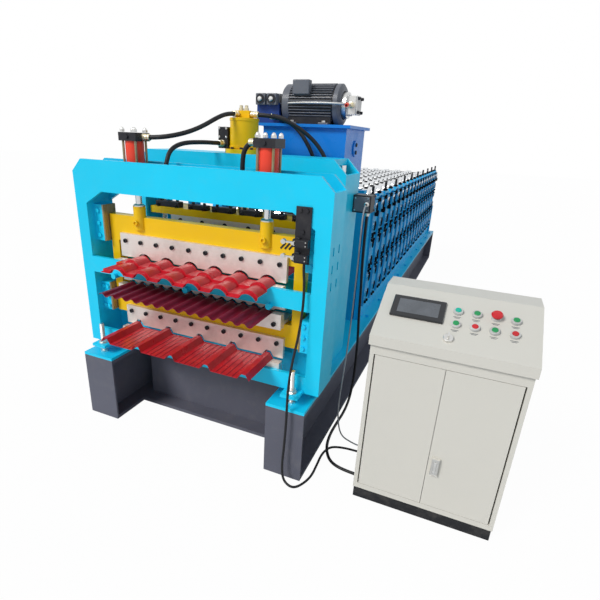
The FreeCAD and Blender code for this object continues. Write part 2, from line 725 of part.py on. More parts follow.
def upper_blades():
    """The moving blades, each held at its top by the frame."""
    tops = {"tile_level": "tile_blade_top", "corrugated_level": "middle_top", "rib_level": "rib_blade_top"}
    return feature("upper_blades", Part.makeCompound([upper_blade(deck, value(tops[deck])) for deck in DECKS]))


def lower_blades():
    """The fixed blades; the middle one stands on a shelf that reaches through the moving frame."""
    shelf = box("blade_shelf", ("-blade_half", "blade_half"),
                ("portal_front + portal_plate + rail_thick", "portal_rear"),
                ("corrugated_level - middle_rail_height / 2 - rail_shelf", "corrugated_level - middle_rail_height / 2"))
    blades = [feature(f"{deck[:-6]}_lower_blade", lower_blade(deck)) for deck in DECKS]
    return group("lower_blades", blades + [shelf])


def cutter_cylinders():
    """Two tie-rod cylinders on the shelf: heads, barrels, tie rods and piston rods."""
    heads, barrels, ties, rods = [], [], [], []
    side = "head_side / 2"
    for name, sign in (("left", "-"), ("right", "")):
        x = f"{sign}cylinder_spread"
        square = ((f"{x} - {side}", f"{x} + {side}"), (f"cutter_axis - {side}", f"cutter_axis + {side}"))
        low = box(f"low_head_{name}_blank", *square, ("shelf_top", "shelf_top + head_height"))
        bore = rod(f"low_head_{name}_bore", "Z", (x, "cutter_axis", "shelf_top - 1"), "head_height + 2",
                   "rod_radius + rod_clear")
        high = box(f"top_head_{name}", *square, ("head_top - head_height", "head_top"))
        barrel = rod(f"barrel_{name}_outside", "Z", (x, "cutter_axis", "shelf_top + head_height"),
                     "head_top - shelf_top - 2 * head_height", "barrel_radius")
        inside = rod(f"barrel_{name}_inside", "Z", (x, "cutter_axis", "shelf_top + head_height - 1"),
                     "head_top - shelf_top - 2 * head_height + 2", "barrel_bore")
        heads += [cut(f"low_head_{name}", low, [bore]), high]
        barrels.append(cut(f"barrel_{name}", barrel, [inside]))
        for i, (a, b) in enumerate((("-", "-"), ("-", ""), ("", "-"), ("", ""))):
            place = (f"{x} + {a or '1 *'} tie_spread" if a == "" else f"{x} - tie_spread",
                     f"cutter_axis + {b or '1 *'} tie_spread" if b == "" else "cutter_axis - tie_spread")
            ties.append(tie_rod(f"tie_{name}_{i}", place))
        shank = rod(f"rod_{name}_shank", "Z", (x, "cutter_axis", "socket_top"),
                    "piston_top - socket_top", "rod_radius")
        piston = rod(f"rod_{name}_piston", "Z", (x, "cutter_axis", "piston_top - piston_height"),
                     "piston_height", "barrel_bore - rod_clear")
        rods.append(weld(f"rod_{name}", [shank, piston]))
    return [
        group("cylinder_heads", heads), group("cylinder_barrels", barrels),
        group("tie_rods", ties), group("piston_rods", rods),
    ]


def tie_rod(name, place):
    """A tie rod between the two heads."""
    return rod(name, "Z", (*place, "shelf_top + head_height"), "head_top - shelf_top - 2 * head_height",
               "tie_radius")


def guides():
    """Blue guide blocks on the columns with their brass liners."""
    blocks, liners = [], []
    y = ("cutter_axis - guide_depth / 2", "cutter_axis + guide_depth / 2")
    face = "frame_half + slide_gap"
    for part, low, high in (("upper", "guide_bottom", "guide_top"), ("lower", "low_guide_bottom", "low_guide_top")):
        for side in ("left", "right"):
            block = (f"{face} + liner", "window_half")
            liner = (face, f"{face} + liner")
            if side == "left":
                block, liner = mirrored(block), mirrored(liner)
            blocks.append(box(f"guide_{part}_{side}", block, y, (low, high)))
            liners.append(box(f"liner_{part}_{side}", liner, y, (low, high)))
    return [group("guide_blocks", blocks), group("guide_liners", liners)]


def limit_switches():
    """A black bracket on the portal's right column with two lever switches."""
    left, right = "bracket_left", "bracket_left + bracket_width"
    front = "portal_front - bracket_plate"
    pieces = [box("switch_bracket", (left, right), (front, "portal_front"), ("bracket_bottom", "bracket_top"))]
    face = f"{front} - switch_depth"
    for i in range(2):
        low = f"bracket_bottom + bracket_foot + {i} * switch_gap"
        middle = f"{low} + switch_height / 2"
        case = box(f"switch_case_{i}", (left, right), (face, front), (low, f"{low} + switch_height"))
        lever = box(f"switch_lever_{i}", (f"{left} - lever_length", left),
                    (f"{face} + lever_thick", f"{face} + 2 * lever_thick"),
                    (f"{middle} - lever_thick / 2", f"{middle} + lever_thick / 2"))
        wheel = rod(f"switch_wheel_{i}", "Y", (f"{left} - lever_length", f"{face} + lever_thick / 2", middle),
                    "2 * lever_thick", "lever_wheel")
        pieces.append(weld(f"switch_{i}", [case, lever, wheel]))
    return group("limit_switches", pieces)


def press_station():
    """The step press between its two portal plates."""
    body = portal_outline("press_half", "press_top", "plate_top", "press_corner")
    window = window_outline("press_window_half", "press_window_top", "press_level")
    loops = [body, window] + deck_slots()
    front = plate("press_front_plate", "XZ", loops, "press_front", "press_front + portal_plate")
    rear = plate("press_rear_plate", "XZ", loops, "press_rear", "press_back")
    gap = ("press_front + portal_plate", "press_rear")
    walls = []
    for side in ("right", "left"):
        x = ("press_half - press_wall", "press_half")
        walls.append(box(f"press_wall_{side}", x if side == "right" else mirrored(x), gap,
                         ("plate_top", "press_top - press_corner")))
    roof_blank = box("press_roof_blank", ("-press_half + press_corner", "press_half - press_corner"), gap,
                     ("press_top - press_roof", "press_top"))
    roof_bore = rod("press_roof_bore", "Z", ("0", "press_middle", "press_top - press_roof - 1"),
                    "press_roof + 2", "press_rod_radius + rod_clear")
    roof = cut("press_roof", roof_blank, [roof_bore])
    yoke = group("press_walls", walls + [roof])
    return [front, rear, yoke] + press_tools(gap)


def press_tools(gap):
    """Table, upper die, beam, guide posts and the press cylinder."""
    inside = ("press_front + portal_plate + press_clear", f"press_rear - press_clear")
    table = box("press_table", ("-press_half + press_wall", "press_half - press_wall"), gap,
                ("press_level - table_height", "press_level"))
    die_low = "press_level + sheet + tile_depth + die_lift"
    beam_low = f"{die_low} + die_height"
    beam_top = f"{beam_low} + press_beam_height"
    y = value(inside[0])
    edges = profile_edges("tile_level", y, value("press_level - tile_level + sheet + die_lift"))
    half = value("sheet_half")
    top = value(beam_low)
    die = feature("press_die", closed_prism(edges, [(half, y, top), (-half, y, top)],
                                            value(inside[1]) - y))
    blank = box("press_beam_blank", ("-press_beam_half", "press_beam_half"), inside, (beam_low, beam_top))
    bores = []
    posts = []
    for side, sign in (("left", "-"), ("right", "")):
        bores.append(rod(f"beam_bore_{side}", "Z", (f"{sign}post_spread", "press_middle", f"{beam_low} - 1"),
                         "press_beam_height + 2", "post_radius + rod_clear"))
        posts.append(rod(f"guide_post_{side}", "Z", (f"{sign}post_spread", "press_middle", "press_level"),
                         "press_top - press_roof - press_level", "post_radius"))
    beam = cut("press_beam", blank, bores)
    shank = rod("press_rod_shank", "Z", ("0", "press_middle", beam_top),
                f"press_top + press_cap_bore - ({beam_top})", "press_rod_radius")
    piston = rod("press_rod_piston", "Z", ("0", "press_middle", "press_top + press_cap_bore - press_piston"),
                 "press_piston", "press_bore_radius - rod_clear")
    flange = rod("press_flange_disc", "Z", ("0", "press_middle", "press_top"), "press_flange", "press_flange_radius")
    barrel = rod("press_barrel", "Z", ("0", "press_middle", "press_top"), "press_barrel_height", "press_barrel_radius")
    neck = rod("press_neck_bore", "Z", ("0", "press_middle", "press_top - 1"), "press_flange + 2",
               "press_rod_radius + rod_clear")
    bore = rod("press_barrel_bore", "Z", ("0", "press_middle", "press_top + press_flange"),
               "press_barrel_height - 2 * press_flange", "press_bore_radius")
    port = box("press_port", ("-port_half", "port_half"), ("press_middle - port_depth", "press_middle + port_depth"),
               ("press_cap", "press_cap + port_height"))
    cylinder = cut("press_cylinder", weld("press_cylinder_blank", [flange, barrel, port]), [neck, bore])
    return [
        table, die, beam, group("guide_posts", posts), weld("press_rod", [shank, piston]), cylinder,
    ]


def hydraulic_unit():
    """Oil tank on its stand, with lid, pump motor, gear pump and valve manifold."""
    right = "tank_left + tank_width"
    back = "tank_front + tank_depth"
    outer = box("tank_outer", ("tank_left", right), ("tank_front", back),
                ("tank_bottom", "tank_bottom + tank_height"))
    inner = box("tank_inner", ("tank_left + tank_wall", f"{right} - tank_wall"),
                ("tank_front + tank_wall", f"{back} - tank_wall"),
                ("tank_bottom + tank_wall", "tank_bottom + tank_height + 1"))
    tank = cut("oil_tank", outer, [inner])
    lid = box("tank_lid", ("tank_left - lid_overhang", f"{right} + lid_overhang"),
              ("tank_front - lid_overhang", f"{back} + lid_overhang"), ("tank_bottom + tank_height", "lid_top"))
    rails = []
    for end, y in (("front", "tank_front"), ("rear", f"{back} - stand_post")):
        span = (y, f"{y} + stand_post")
        rails.append(box(f"stand_rail_{end}", ("-stand_half", "stand_half"), span,
                         ("tank_bottom - stand_rail", "tank_bottom")))
        for side in ("left", "right"):
            x = ("stand_half - stand_post", "stand_half")
            rails.append(box(f"stand_leg_{end}_{side}", x if side == "right" else mirrored(x), span,
                             ("plate_top", "tank_bottom - stand_rail")))
    fronts = [part for part in rails if "front" in part.Name]
    rears = [part for part in rails if "rear" in part.Name]
    legs = [weld("stand_frame_front", fronts), weld("stand_frame_rear", rears)]
    motor_y = "tank_front + motor_inset"
    motor_z = "lid_top + motor_radius + motor_lift"
    motor_right = "motor_left + motor_length"
    barrel = rod("motor_barrel", "X", ("motor_left", motor_y, motor_z), "motor_length", "motor_radius")
    foot = box("motor_foot", ("motor_left + motor_foot_inset", f"{motor_right} - motor_foot_inset"),
               (f"{motor_y} - motor_foot / 2", f"{motor_y} + motor_foot / 2"),
               ("lid_top", "lid_top + motor_radius / 2"))
    motor = weld("pump_motor", [barrel, foot])
    bell = rod("pump_bell_ring", "X", (motor_right, motor_y, motor_z), "pump_bell", "pump_radius + pump_bell_rim")
    pump_body = box("pump_body", (f"{motor_right} + pump_bell", f"{motor_right} + pump_length"),
                    (f"{motor_y} - pump_radius", f"{motor_y} + pump_radius"),
                    (f"{motor_z} - pump_radius", f"{motor_z} + pump_radius"))
    pump = weld("gear_pump", [bell, pump_body])
    block = box("manifold_block", ("manifold_left", "manifold_left + manifold_width"),
                (f"{motor_y} - manifold_front", f"{motor_y} + manifold_back"),
                ("lid_top", "lid_top + manifold_height"))
    solenoids = [
        rod(f"solenoid_{i}", "Y",
            (f"manifold_left + manifold_width / 2 + ({i} - 0.5) * solenoid_pitch",
             f"{motor_y} - solenoid_front", "lid_top + manifold_height + 0.7 * solenoid_radius"),
            "solenoid_length", "solenoid_radius")
        for i in range(2)
    ]
    manifold = weld("manifold_assembly", [block] + solenoids)
    foot_z = "press_top + press_flange"
    press_valve = box("press_valve", ("-press_barrel_radius - valve_width", "-press_barrel_radius - seat"),
                      ("press_middle - valve_half", "press_middle + valve_half"),
                      (foot_z, f"{foot_z} + valve_height"))
    return [group("tank_stand", legs), tank, lid, motor, pump, group("valve_blocks", [manifold, press_valve])]


def stand_walls():
    """Side walls of the roll section: a deep slot at every station and open joints between panels."""
    walls = []
    for side in ("left", "right"):
        x = ("wall_half - wall_plate", "wall_half")
        if side == "left":
            x = mirrored(x)
        name = f"stand_wall_{side}"
        body = plate(name, "YZ", [rectangle(("wall_start", "wall_end"), ("plate_top", "wall_top"))], *x)
        joint_y = "wall_start + 2 * pitch"
        for part, y, low, count, step in (
            ("slot", ("first_station - slot_width / 2", "first_station + slot_width / 2"), "slot_bottom",
             "stations", "pitch"),
            ("joint", (f"{joint_y} - wall_joint / 2", f"{joint_y} + wall_joint / 2"),
             "plate_top + wall_joint_sill", "floor((stations - 1) / 2)", "(2 * pitch)"),
        ):
            sketch = new_sketch(body, "YZ", f"{part}_{side}", x[0])
            outline(sketch, rectangle(y, (low, "wall_top")))
            pocket = body.newObject("PartDesign::Pocket", f"{part}_cut_{side}")
            pocket.Profile = sketch
            pocket.Reversed = True
            bind(pocket, "Length", "wall_plate")
            repeat(body, pocket, f"{part}_pattern_{side}", count, step)
        walls.append(body)
    return group("stand_walls", walls)


def shaft_levels(deck):
    """Heights of the lower and the upper shaft of a deck."""
    pair = f"tile_roll_level - {DECKS.index(deck)} * roll_deck_pitch"
    return f"{pair} - shaft_rise", f"{pair} + shaft_rise"


def rolls(name, deck):
    """Both rows of roll shafts of one deck."""
    rows = []
    for part, level in zip(("lower", "upper"), shaft_levels(deck)):
        body = doc.addObject("PartDesign::Body", f"{name}_{part}")
        sketch = new_sketch(body, "XZ", f"{name}_{part}_profile", "first_station", level)
        if deck == "tile_level":
            points = [("-shaft_end", "0"), ("-shaft_end", "shaft_radius")]
            for i in range(int(value("collars"))):
                centre = f"(({i} + 0.5) * 2 / collars - 1) * drum_half"
                points += [
                    (f"{centre} - collar_width / 2", "shaft_radius"), (f"{centre} - collar_width / 2", "drum_radius"),
                    (f"{centre} + collar_width / 2", "drum_radius"), (f"{centre} + collar_width / 2", "shaft_radius"),
                ]
            points += [("shaft_end", "shaft_radius"), ("shaft_end", "0")]
        else:
            points = [("-shaft_end", "0"), ("-shaft_end", "shaft_radius"), ("-drum_half", "shaft_radius"),
                      ("-drum_half", "drum_radius"), ("drum_half", "drum_radius"), ("drum_half", "shaft_radius"),
                      ("shaft_end", "shaft_radius"), ("shaft_end", "0")]
        outline(sketch, points)
        turn = body.newObject("PartDesign::Revolution", f"{name}_{part}_turned")
        turn.Profile = sketch
        turn.ReferenceAxis = (sketch, ["H_Axis"])
        turn.Angle = 360
        repeat(body, turn, f"{name}_{part}_row", "stations", "pitch")
        rows.append(body)
    return group(name, rows)


def bearing_blocks():
    """Blocks that fill the slots and carry the shafts, one stack in each slot."""
    body = doc.addObject("PartDesign::Body", "bearing_blocks")
    sketch = new_sketch(body, "XY", "block_plan", "slot_bottom")
    y = ("first_station - slot_width / 2 + block_clear", "first_station + slot_width / 2 - block_clear")
    x = ("wall_half - wall_plate / 2 - block_depth / 2", "wall_half - wall_plate / 2 + block_depth / 2")
    outline(sketch, rectangle(x, y))
    outline(sketch, rectangle(mirrored(x), y))
    pad = body.newObject("PartDesign::Pad", "block_pad")
    pad.Profile = sketch
    bind(pad, "Length", "wall_top - slot_bottom - cap_plate")
    bores = new_sketch(body, "YZ", "block_bores", "0")
    for deck in DECKS:
        for level in shaft_levels(deck):
            hole(bores, ("first_station", level), "shaft_radius + block_clear")
    drill = body.newObject("PartDesign::Pocket", "block_drill")
    drill.Profile = bores
    drill.Midplane = True
    bind(drill, "Length", "2 * shaft_end")
    pattern = body.newObject("PartDesign::LinearPattern", "block_row")
    pattern.Originals = [pad, drill]
    pattern.Direction = (origin_part(body, "Y_Axis"), [""])
    bind(pattern, "Length", "(stations - 1) * pitch")
    bind(pattern, "Occurrences", "stations")
    body.Tip = pattern
    return body


def adjusting_bolts():
    """Cap plates over the slots, with a tall adjusting bolt on every second one."""
    body = doc.addObject("PartDesign::Body", "adjusting_caps")
    y = ("first_station - slot_width / 2 - cap_margin", "first_station + slot_width / 2 + cap_margin")
    x = ("wall_half - wall_plate", "wall_half")
    sketch = new_sketch(body, "XY", "cap_plan", "wall_top")
    outline(sketch, rectangle(x, y))
    outline(sketch, rectangle(mirrored(x), y))
    pad = body.newObject("PartDesign::Pad", "cap_pad")
    pad.Profile = sketch
    bind(pad, "Length", "cap_plate")
    short = bolt_row(body, "short_bolts", "short_bolt_rise")
    pattern = repeat(body, pad, "cap_row", "stations", "pitch")
    pattern.Originals = [pad, short]
    tall = bolt_row(body, "tall_bolts", "bolt_rise")
    repeat(body, tall, "tall_bolt_row", "floor((stations + 1) / 2)", "(2 * pitch)")
    return body


def bolt_row(body, name, rise):
    """One bolt on each wall at the first station, standing on its cap plate."""
    sketch = new_sketch(body, "XY", name, "wall_top")
    for sign in ("-", ""):
        hole(sketch, (f"{sign}(wall_half - wall_plate / 2)", "first_station"), "bolt_radius")
    pad = body.newObject("PartDesign::Pad", name + "_pad")
    pad.Profile = sketch
    bind(pad, "Length", f"cap_plate + {rise}")
    return pad


def entry_table():
    """Feed table at the rear, carried by a rail and a leg on each side."""
    top = "corrugated_level - entry_drop"
    under = f"{top} - entry_plate"
    deck = box("entry_deck", ("-entry_half", "entry_half"), ("entry_start", "entry_start + entry_length"),
               (under, top))
    pieces = [deck]
    for side in ("left", "right"):
        rail = ("entry_half - entry_plate", "entry_half + entry_wing")
        leg = ("entry_half + entry_wing - entry_leg", "entry_half + entry_wing")
        if side == "left":
            rail, leg = mirrored(rail), mirrored(leg)
        y = ("entry_start", "entry_start + entry_leg")
        pieces.append(box(f"entry_rail_{side}", rail, y, (f"{under} - entry_leg", under)))
        pieces.append(box(f"entry_leg_{side}", leg, y, ("plate_top", f"{under} - entry_leg")))
    return weld("entry_table", pieces)


def cabinet():
    """Free-standing control desk: plinth, hollow body, two doors, desk, screen and buttons."""
    left, front, right, back = "cabinet_left", "cabinet_front", "cabinet_right", "cabinet_back"
    plinth = box("cabinet_plinth", (f"{left} + plinth_inset", f"{right} - plinth_inset"),
                 (f"{front} + plinth_inset", f"{back} - plinth_inset"), ("0", "plinth_height"))
    shell = box("cabinet_shell", (left, right), (front, back), ("plinth_height", "cabinet_top"))
    room = box("cabinet_room", (f"{left} + door_margin", f"{right} - door_margin"),
               (f"{front} - 1", f"{back} - cabinet_wall"),
               ("plinth_height + door_sill", "cabinet_top - door_head"))
    body = cut("cabinet_body", shell, [room])
    desk_points = [
        (f"{front} - lip_reach", "cabinet_top"), (back, "cabinet_top"), (back, "desk_top"),
        (f"{front} - lip_reach + desk_slope", "desk_top"),
        (f"{front} - lip_reach", "cabinet_top + lip_height"),
    ]
    desk = plate("cabinet_desk", "YZ", [desk_points], f"{left} - lip_reach / 2", f"{right} + lip_reach / 2")
    doors = []
    pins = []
    middle = "cabinet_left + cabinet_width / 2"
    sill, head = "plinth_height + door_sill", "cabinet_top - door_head"
    z = (f"{sill} + door_gap", f"{head} - door_gap")
    axis_y = f"{front} + door / 2"
    for side, x, axis_x in (
        ("left", (f"{left} + door_margin + hinge_gap", f"{middle} - door_gap / 2"),
         f"{left} + door_margin + hinge_gap + door / 2"),
        ("right", (f"{middle} + door_gap / 2", f"{right} - door_margin - hinge_gap"),
         f"{right} - door_margin - hinge_gap - door / 2"),
    ):
        panel = box(f"door_{side}_panel", x, (front, f"{front} + door"), z)
        bores = []
        for end, low in (("low", sill), ("high", f"{head} - hinge_reach")):
            pins.append(rod(f"hinge_pin_{side}_{end}", "Z", (axis_x, axis_y, low), "hinge_reach", "hinge_radius"))
            bores.append(rod(f"hinge_bore_{side}_{end}", "Z", (axis_x, axis_y, f"{low} - 1"),
                             "hinge_reach + 2", "hinge_radius + hinge_clear"))
        doors.append(cut("cabinet_door_left" if side == "left" else "right_door_leaf", panel, bores))
    handle = box("door_handle", (f"{middle} + handle_inset", f"{middle} + handle_inset + handle_width"),
                 (f"{front} - handle_rise", front), ("handle_sill", "handle_sill + handle_height"))
    right_door = weld("cabinet_door_right", [doors[1], handle])
    return [plinth, body, desk, group("hinge_pins", pins), doors[0], right_door, desk_fittings()]


def desk_fittings():
    """Screen, two rows of buttons and a key switch, placed in the plane of the sloping desk."""
    slope = math.atan2(value("desk_top - cabinet_top - lip_height"), value("desk_slope"))
    turn = FreeCAD.Rotation(FreeCAD.Vector(1, 0, 0), math.degrees(slope))
    base = FreeCAD.Vector(value("cabinet_left"), value("cabinet_front - lip_reach"),
                          value("cabinet_top + lip_height"))
    corner = FreeCAD.Vector(value("screen_left"), value("screen_low"), 0)
    shapes = [Part.makeBox(value("screen_width"), value("screen_height"), value("screen_rise"), corner)]
    for along in ("button_low", "button_high"):
        for i in range(4):
            at = FreeCAD.Vector(value(f"button_left + {i} * button_pitch"), value(along), 0)
            shapes.append(Part.makeCylinder(value("button_radius"), value("button_rise"), at))
    at = FreeCAD.Vector(value("button_left"), value("key_low"), 0)
    shapes.append(Part.makeCylinder(value("key_radius"), value("key_rise"), at))
    solid = Part.makeCompound(shapes)
    solid.Placement = FreeCAD.Placement(base, turn)
    return feature("desk_fittings", solid)


def junction_box():
    """Black terminal box on the right wall of the press, where the desk's cables start."""
    return box("junction_box", ("press_half", "press_half + junction_reach"),
               ("press_back - junction_depth", "press_back"),
               ("junction_bottom", "junction_bottom + junction_height"))


def tube(name, diameter, route):
    """A hose or cable along a route: straight runs joined by arcs that touch both runs."""
    points = [FreeCAD.Vector(*(value(text) for text in point)) for point in route]
    edges = []
    radii = []
    start = points[0]
    for before, corner, after in zip(points, points[1:], points[2:]):
        back, ahead = before - corner, after - corner
        half_turn = (math.pi - back.getAngle(ahead)) / 2
        shorter = min(back.Length, ahead.Length)
        bend = 0.45 * shorter / math.tan(half_turn)
        radii.append(bend)
        back.normalize()
        ahead.normalize()
        inward = back + ahead
        inward.normalize()
        enter, leave = corner + back * 0.45 * shorter, corner + ahead * 0.45 * shorter
        middle = corner + inward * (bend / math.cos(half_turn) - bend)
        edges.append(Part.LineSegment(start, enter).toShape())
        edges.append(Part.Arc(enter, middle, leave).toShape())
        start = leave
    edges.append(Part.LineSegment(start, points[-1]).toShape())
    path = Part.Wire(edges)
    radius = value(diameter) / 2
    ring = Part.Wire([Part.makeCircle(radius, points[0], points[1] - points[0])])
    solid = path.makePipeShell([ring], True, False)
    if abs(solid.Volume / (math.pi * radius ** 2 * path.Length) - 1) > 0.01:
        raise RuntimeError(f"{name} has the wrong volume")
    print(f"{name}: length {path.Length:.0f} mm, tightest radius {min(radii):.0f} mm")
    return feature(name, solid)


def hoses():
    """Hydraulic hoses of the cutter and the press."""
    head_x, head_z = "cylinder_spread - head_side / 2", "head_top - head_height / 2"
    foot_z = "shelf_top + head_height / 2"
    port_z = "press_cap + port_height / 2"
    port_y = "press_middle - port_depth"
    valve_x = "-press_barrel_radius - valve_width / 2"
    valve_y = "press_middle - valve_half"
    left_top = [
        (f"-({head_x})", "cutter_axis", head_z), (f"-({head_x}) + 92", "cutter_axis", head_z),
        (f"-({head_x}) + 187", "cutter_axis + 66", f"{head_z} + 22"),
        ("-95", f"{port_y} - 258", f"{port_z} - 76"), ("-52", f"{port_y} - 136", f"{port_z} - 14"),
        ("-30", f"{port_y} - 66", port_z), ("-30", port_y, port_z),
    ]
    left_low = [
        (f"-({head_x})", "cutter_axis", foot_z), (f"-({head_x}) + 55", "cutter_axis", foot_z),
        (f"-({head_x}) + 107", "cutter_axis + 2", f"{foot_z} + 34"),
        (f"-({head_x}) + 126", "cutter_axis + 9", f"{foot_z} + 100"),
        (f"-({head_x}) + 128", "cutter_axis + 40", f"{foot_z} + 168"),
        (f"-({head_x}) + 146", "cutter_axis + 122", f"{foot_z} + 202"),
        (f"{valve_x} - 22", f"{valve_y} - 158", f"{foot_z} + 207"),
        (valve_x, f"{valve_y} - 70", f"{foot_z} + 204"), (valve_x, valve_y, f"{foot_z} + 204"),
    ]
    right_top = [
        (head_x, "cutter_axis", head_z), (f"{head_x} - 40", "cutter_axis", head_z),
        (f"{head_x} - 74", "cutter_axis + 1", f"{head_z} - 36"),
        (f"{head_x} - 82", "cutter_axis + 4", f"{head_z} - 104"),
        (f"{head_x} - 78", "cutter_axis + 2", f"{head_z} - 170"),
        (f"{head_x} - 78", "cutter_axis + 2", "shelf_top"),
    ]
    press_return = [
        ("port_half", "press_middle", port_z), ("port_half + 82", "press_middle", port_z),
        ("port_half + 172", "press_middle + 38", f"{port_z} - 16"),
        ("port_half + 256", "press_middle + 94", f"{port_z} - 62"),
        ("port_half + 330", "tank_front - 106", f"{port_z} - 128"),
        ("port_half + 386", "tank_front - 94", f"{port_z} - 204"),
        ("port_half + 406", "tank_front - 90", f"{port_z} - 276"),
        ("port_half + 412", "tank_front - 66", "tank_bottom + 40"),
        ("port_half + 412", "tank_front", "tank_bottom + 40"),
    ]
    front = "tank_front + motor_inset - manifold_front"
    block_z = "lid_top + manifold_port"
    press_feed = [
        ("manifold_left + manifold_width - 30", front, block_z),
        ("manifold_left + manifold_width - 30", f"{front} - 42", block_z),
        ("78", f"{front} - 92", f"{block_z} + 4"), ("168", f"{front} - 118", f"{block_z} - 18"),
        ("252", "press_back + 56", f"{block_z} - 74"), ("312", "press_back + 55", f"{block_z} - 154"),
        ("334", "press_back + 70", f"{block_z} - 205"), ("341", "press_back + 88", f"{block_z} - 255"),
        ("341", "press_back + 88", f"{block_z} - 330"), ("341", "press_back", f"{block_z} - 330"),
    ]
    return [
        tube("hose_left_top", "hose", left_top), tube("hose_left_low", "hose", left_low),
        tube("hose_right_top", "hose", right_top), tube("hose_press_return", "hose", press_return),
        tube("hose_press_feed", "hose", press_feed),
    ]


def cables():
    """Electric cables that hang down and lie on the floor between the machine and the desk."""
    side = "press_half + 72"
    desk = "cabinet_left + plinth_inset"
    low = "supply_cable / 2 + 0.5"
    bottom = "bracket_bottom + bracket_foot"
    column = "bracket_left + bracket_width - 16"
    floor_z = "switch_cable / 2 + 0.5"
    switches = [
        (column, "portal_front - bracket_plate - switch_depth / 2", f"{bottom} - seat"),
        (column, "portal_front - bracket_plate - switch_depth / 2", f"{bottom} - 40"),
        (f"{column} + 8", "portal_front - 23", f"{bottom} - 92"),
        (f"{column} + 12", "portal_front - 30", f"{bottom} - 205"),
        (f"{column} + 4", "portal_front - 48", f"{bottom} - 345"),
        (f"{column} - 6", "portal_front - lug_reach - 12", f"{bottom} - 480"),
        (f"{column} - 4", "beam_front - 22", "plate_top + 95"), (f"{column} + 2", "beam_front - 34", "plate_top - 40"),
        (f"{column} - 3", "beam_front - 33", "plate_top - 190"), (f"{column} - 8", "beam_front - 38", "95"),
        (f"{column} + 6", "beam_front - 52", "26"), (f"{column} + 52", "beam_front - 66", floor_z),
        ("beam_outer + 12", "beam_front - 46", floor_z), ("beam_outer + 44", "beam_front + 42", floor_z),
        ("beam_outer + 42", "beam_front + 140", f"{floor_z} + 6"),
        ("beam_outer + 45", "beam_front + 206", f"{floor_z} + 32"),
        ("beam_outer + 66", "beam_front + 276", f"{floor_z} + 34"),
        ("beam_outer + 118", "beam_front + 335", f"{floor_z} + 8"),
        ("beam_outer + 195", "beam_front + 352", floor_z), (desk, "beam_front + 352", floor_z),
    ]
    supply = [
        (side, "press_back - 45", "junction_bottom"), (side, "press_back - 45", "junction_bottom - 130"),
        (f"{side} + 2", "press_back - 36", "junction_bottom - 290"),
        (f"{side} + 6", "press_back - 14", "junction_bottom - 450"),
        (f"{side} + 5", "press_back + 12", "junction_bottom - 620"),
        (f"{side} + 9", "press_back + 42", "junction_bottom - 790"),
        (f"{side} + 7", "press_back + 62", "junction_bottom - 950"),
        (f"{side} + 8", "press_back + 52", "160"), (f"{side} + 7", "press_back + 2", "50"),
        (f"{side} + 4", "press_back - 98", low), (f"{side} - 2", "press_back - 236", low),
        (f"{side} - 3", "press_back - 370", low), (f"{side} + 16", "press_back - 488", low),
        (f"{side} + 68", "press_back - 586", low), (f"{side} + 156", "press_back - 618", low),
        (desk, "press_back - 618", low),
    ]
    thin_low = "signal_cable / 2 + 0.5"
    front = "press_back - junction_depth"
    signal = [
        (f"{side} + 4", front, "junction_bottom + 45"), (f"{side} + 4", f"{front} - 30", "junction_bottom + 45"),
        (f"{side} + 5", f"{front} - 62", "junction_bottom + 20"), (f"{side} + 5", f"{front} - 72", "junction_bottom - 50"),
        (f"{side} + 6", f"{front} - 76", "junction_bottom - 160"), (f"{side} + 9", f"{front} - 84", "junction_bottom - 275"),
        (f"{side} + 11", f"{front} - 98", "junction_bottom - 388"), (f"{side} + 14", f"{front} - 112", "junction_bottom - 500"),
        (f"{side} + 17", f"{front} - 134", "junction_bottom - 612"), (f"{side} + 20", f"{front} - 162", "junction_bottom - 722"),
        (f"{side} + 24", f"{front} - 200", "junction_bottom - 830"), (f"{side} + 27", f"{front} - 244", "junction_bottom - 930"),
        (f"{side} + 32", f"{front} - 280", "junction_bottom - 1026"), (f"{side} + 42", f"{front} - 292", "118"),
        (f"{side} + 66", f"{front} - 286", "34"), (f"{side} + 122", f"{front} - 278", thin_low),
        (f"{side} + 180", f"{front} - 292", thin_low), (desk, f"{front} - 292", thin_low),
    ]
    return [
        tube("cable_switches", "switch_cable", switches), tube("cable_supply", "supply_cable", supply),
        tube("cable_signal", "signal_cable", signal),
    ]


def build():
    nodes = base_frame() + cutter_portal()
    nodes += [cutter_frame(), upper_blades(), lower_blades()] + cutter_cylinders() + guides()
    nodes += [limit_switches()] + press_station() + hydraulic_unit()
    nodes += [
        stand_walls(), rolls("tile_rolls", "tile_level"), rolls("corrugated_rolls", "corrugated_level"),
        rolls("rib_rolls", "rib_level"), bearing_blocks(), adjusting_bolts(), entry_table(),
    ]
    nodes += roofing_sheets() + cabinet() + [junction_box()] + hoses() + cables()
    doc.recompute()
    return nodes


def export(nodes):
    """Check every object and write one STEP file for each node."""
    for item in doc.Objects:
        if "Invalid" in item.State or "Error" in item.State:
            raise RuntimeError(f"{item.Name} failed: {item.State}")
    os.makedirs("parts", exist_ok=True)
    for old in os.listdir("parts"):
        os.remove(os.path.join("parts", old))
    for node in nodes:
        if node.Shape.isNull() or not node.Shape.isValid() or not node.Shape.Solids:
            raise RuntimeError(f"{node.Name} has no valid solid")
        node.Label = node.Name
        node.Shape.exportStep(f"parts/{node.Label}.step")


export(build())
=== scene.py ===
# %% [markdown]
# # A roll forming machine for roofing sheets
# The machine presses and rolls flat steel strip into three kinds of roofing sheet. The packed
# model gives every main piece at its real size. This lesson gives those pieces their finish, and
# adds the bolts, nuts, hoses and trim that make the machine look built and not drawn.

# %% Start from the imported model
import json
import math
import random
import bpy
from mathutils import Matrix, Vector

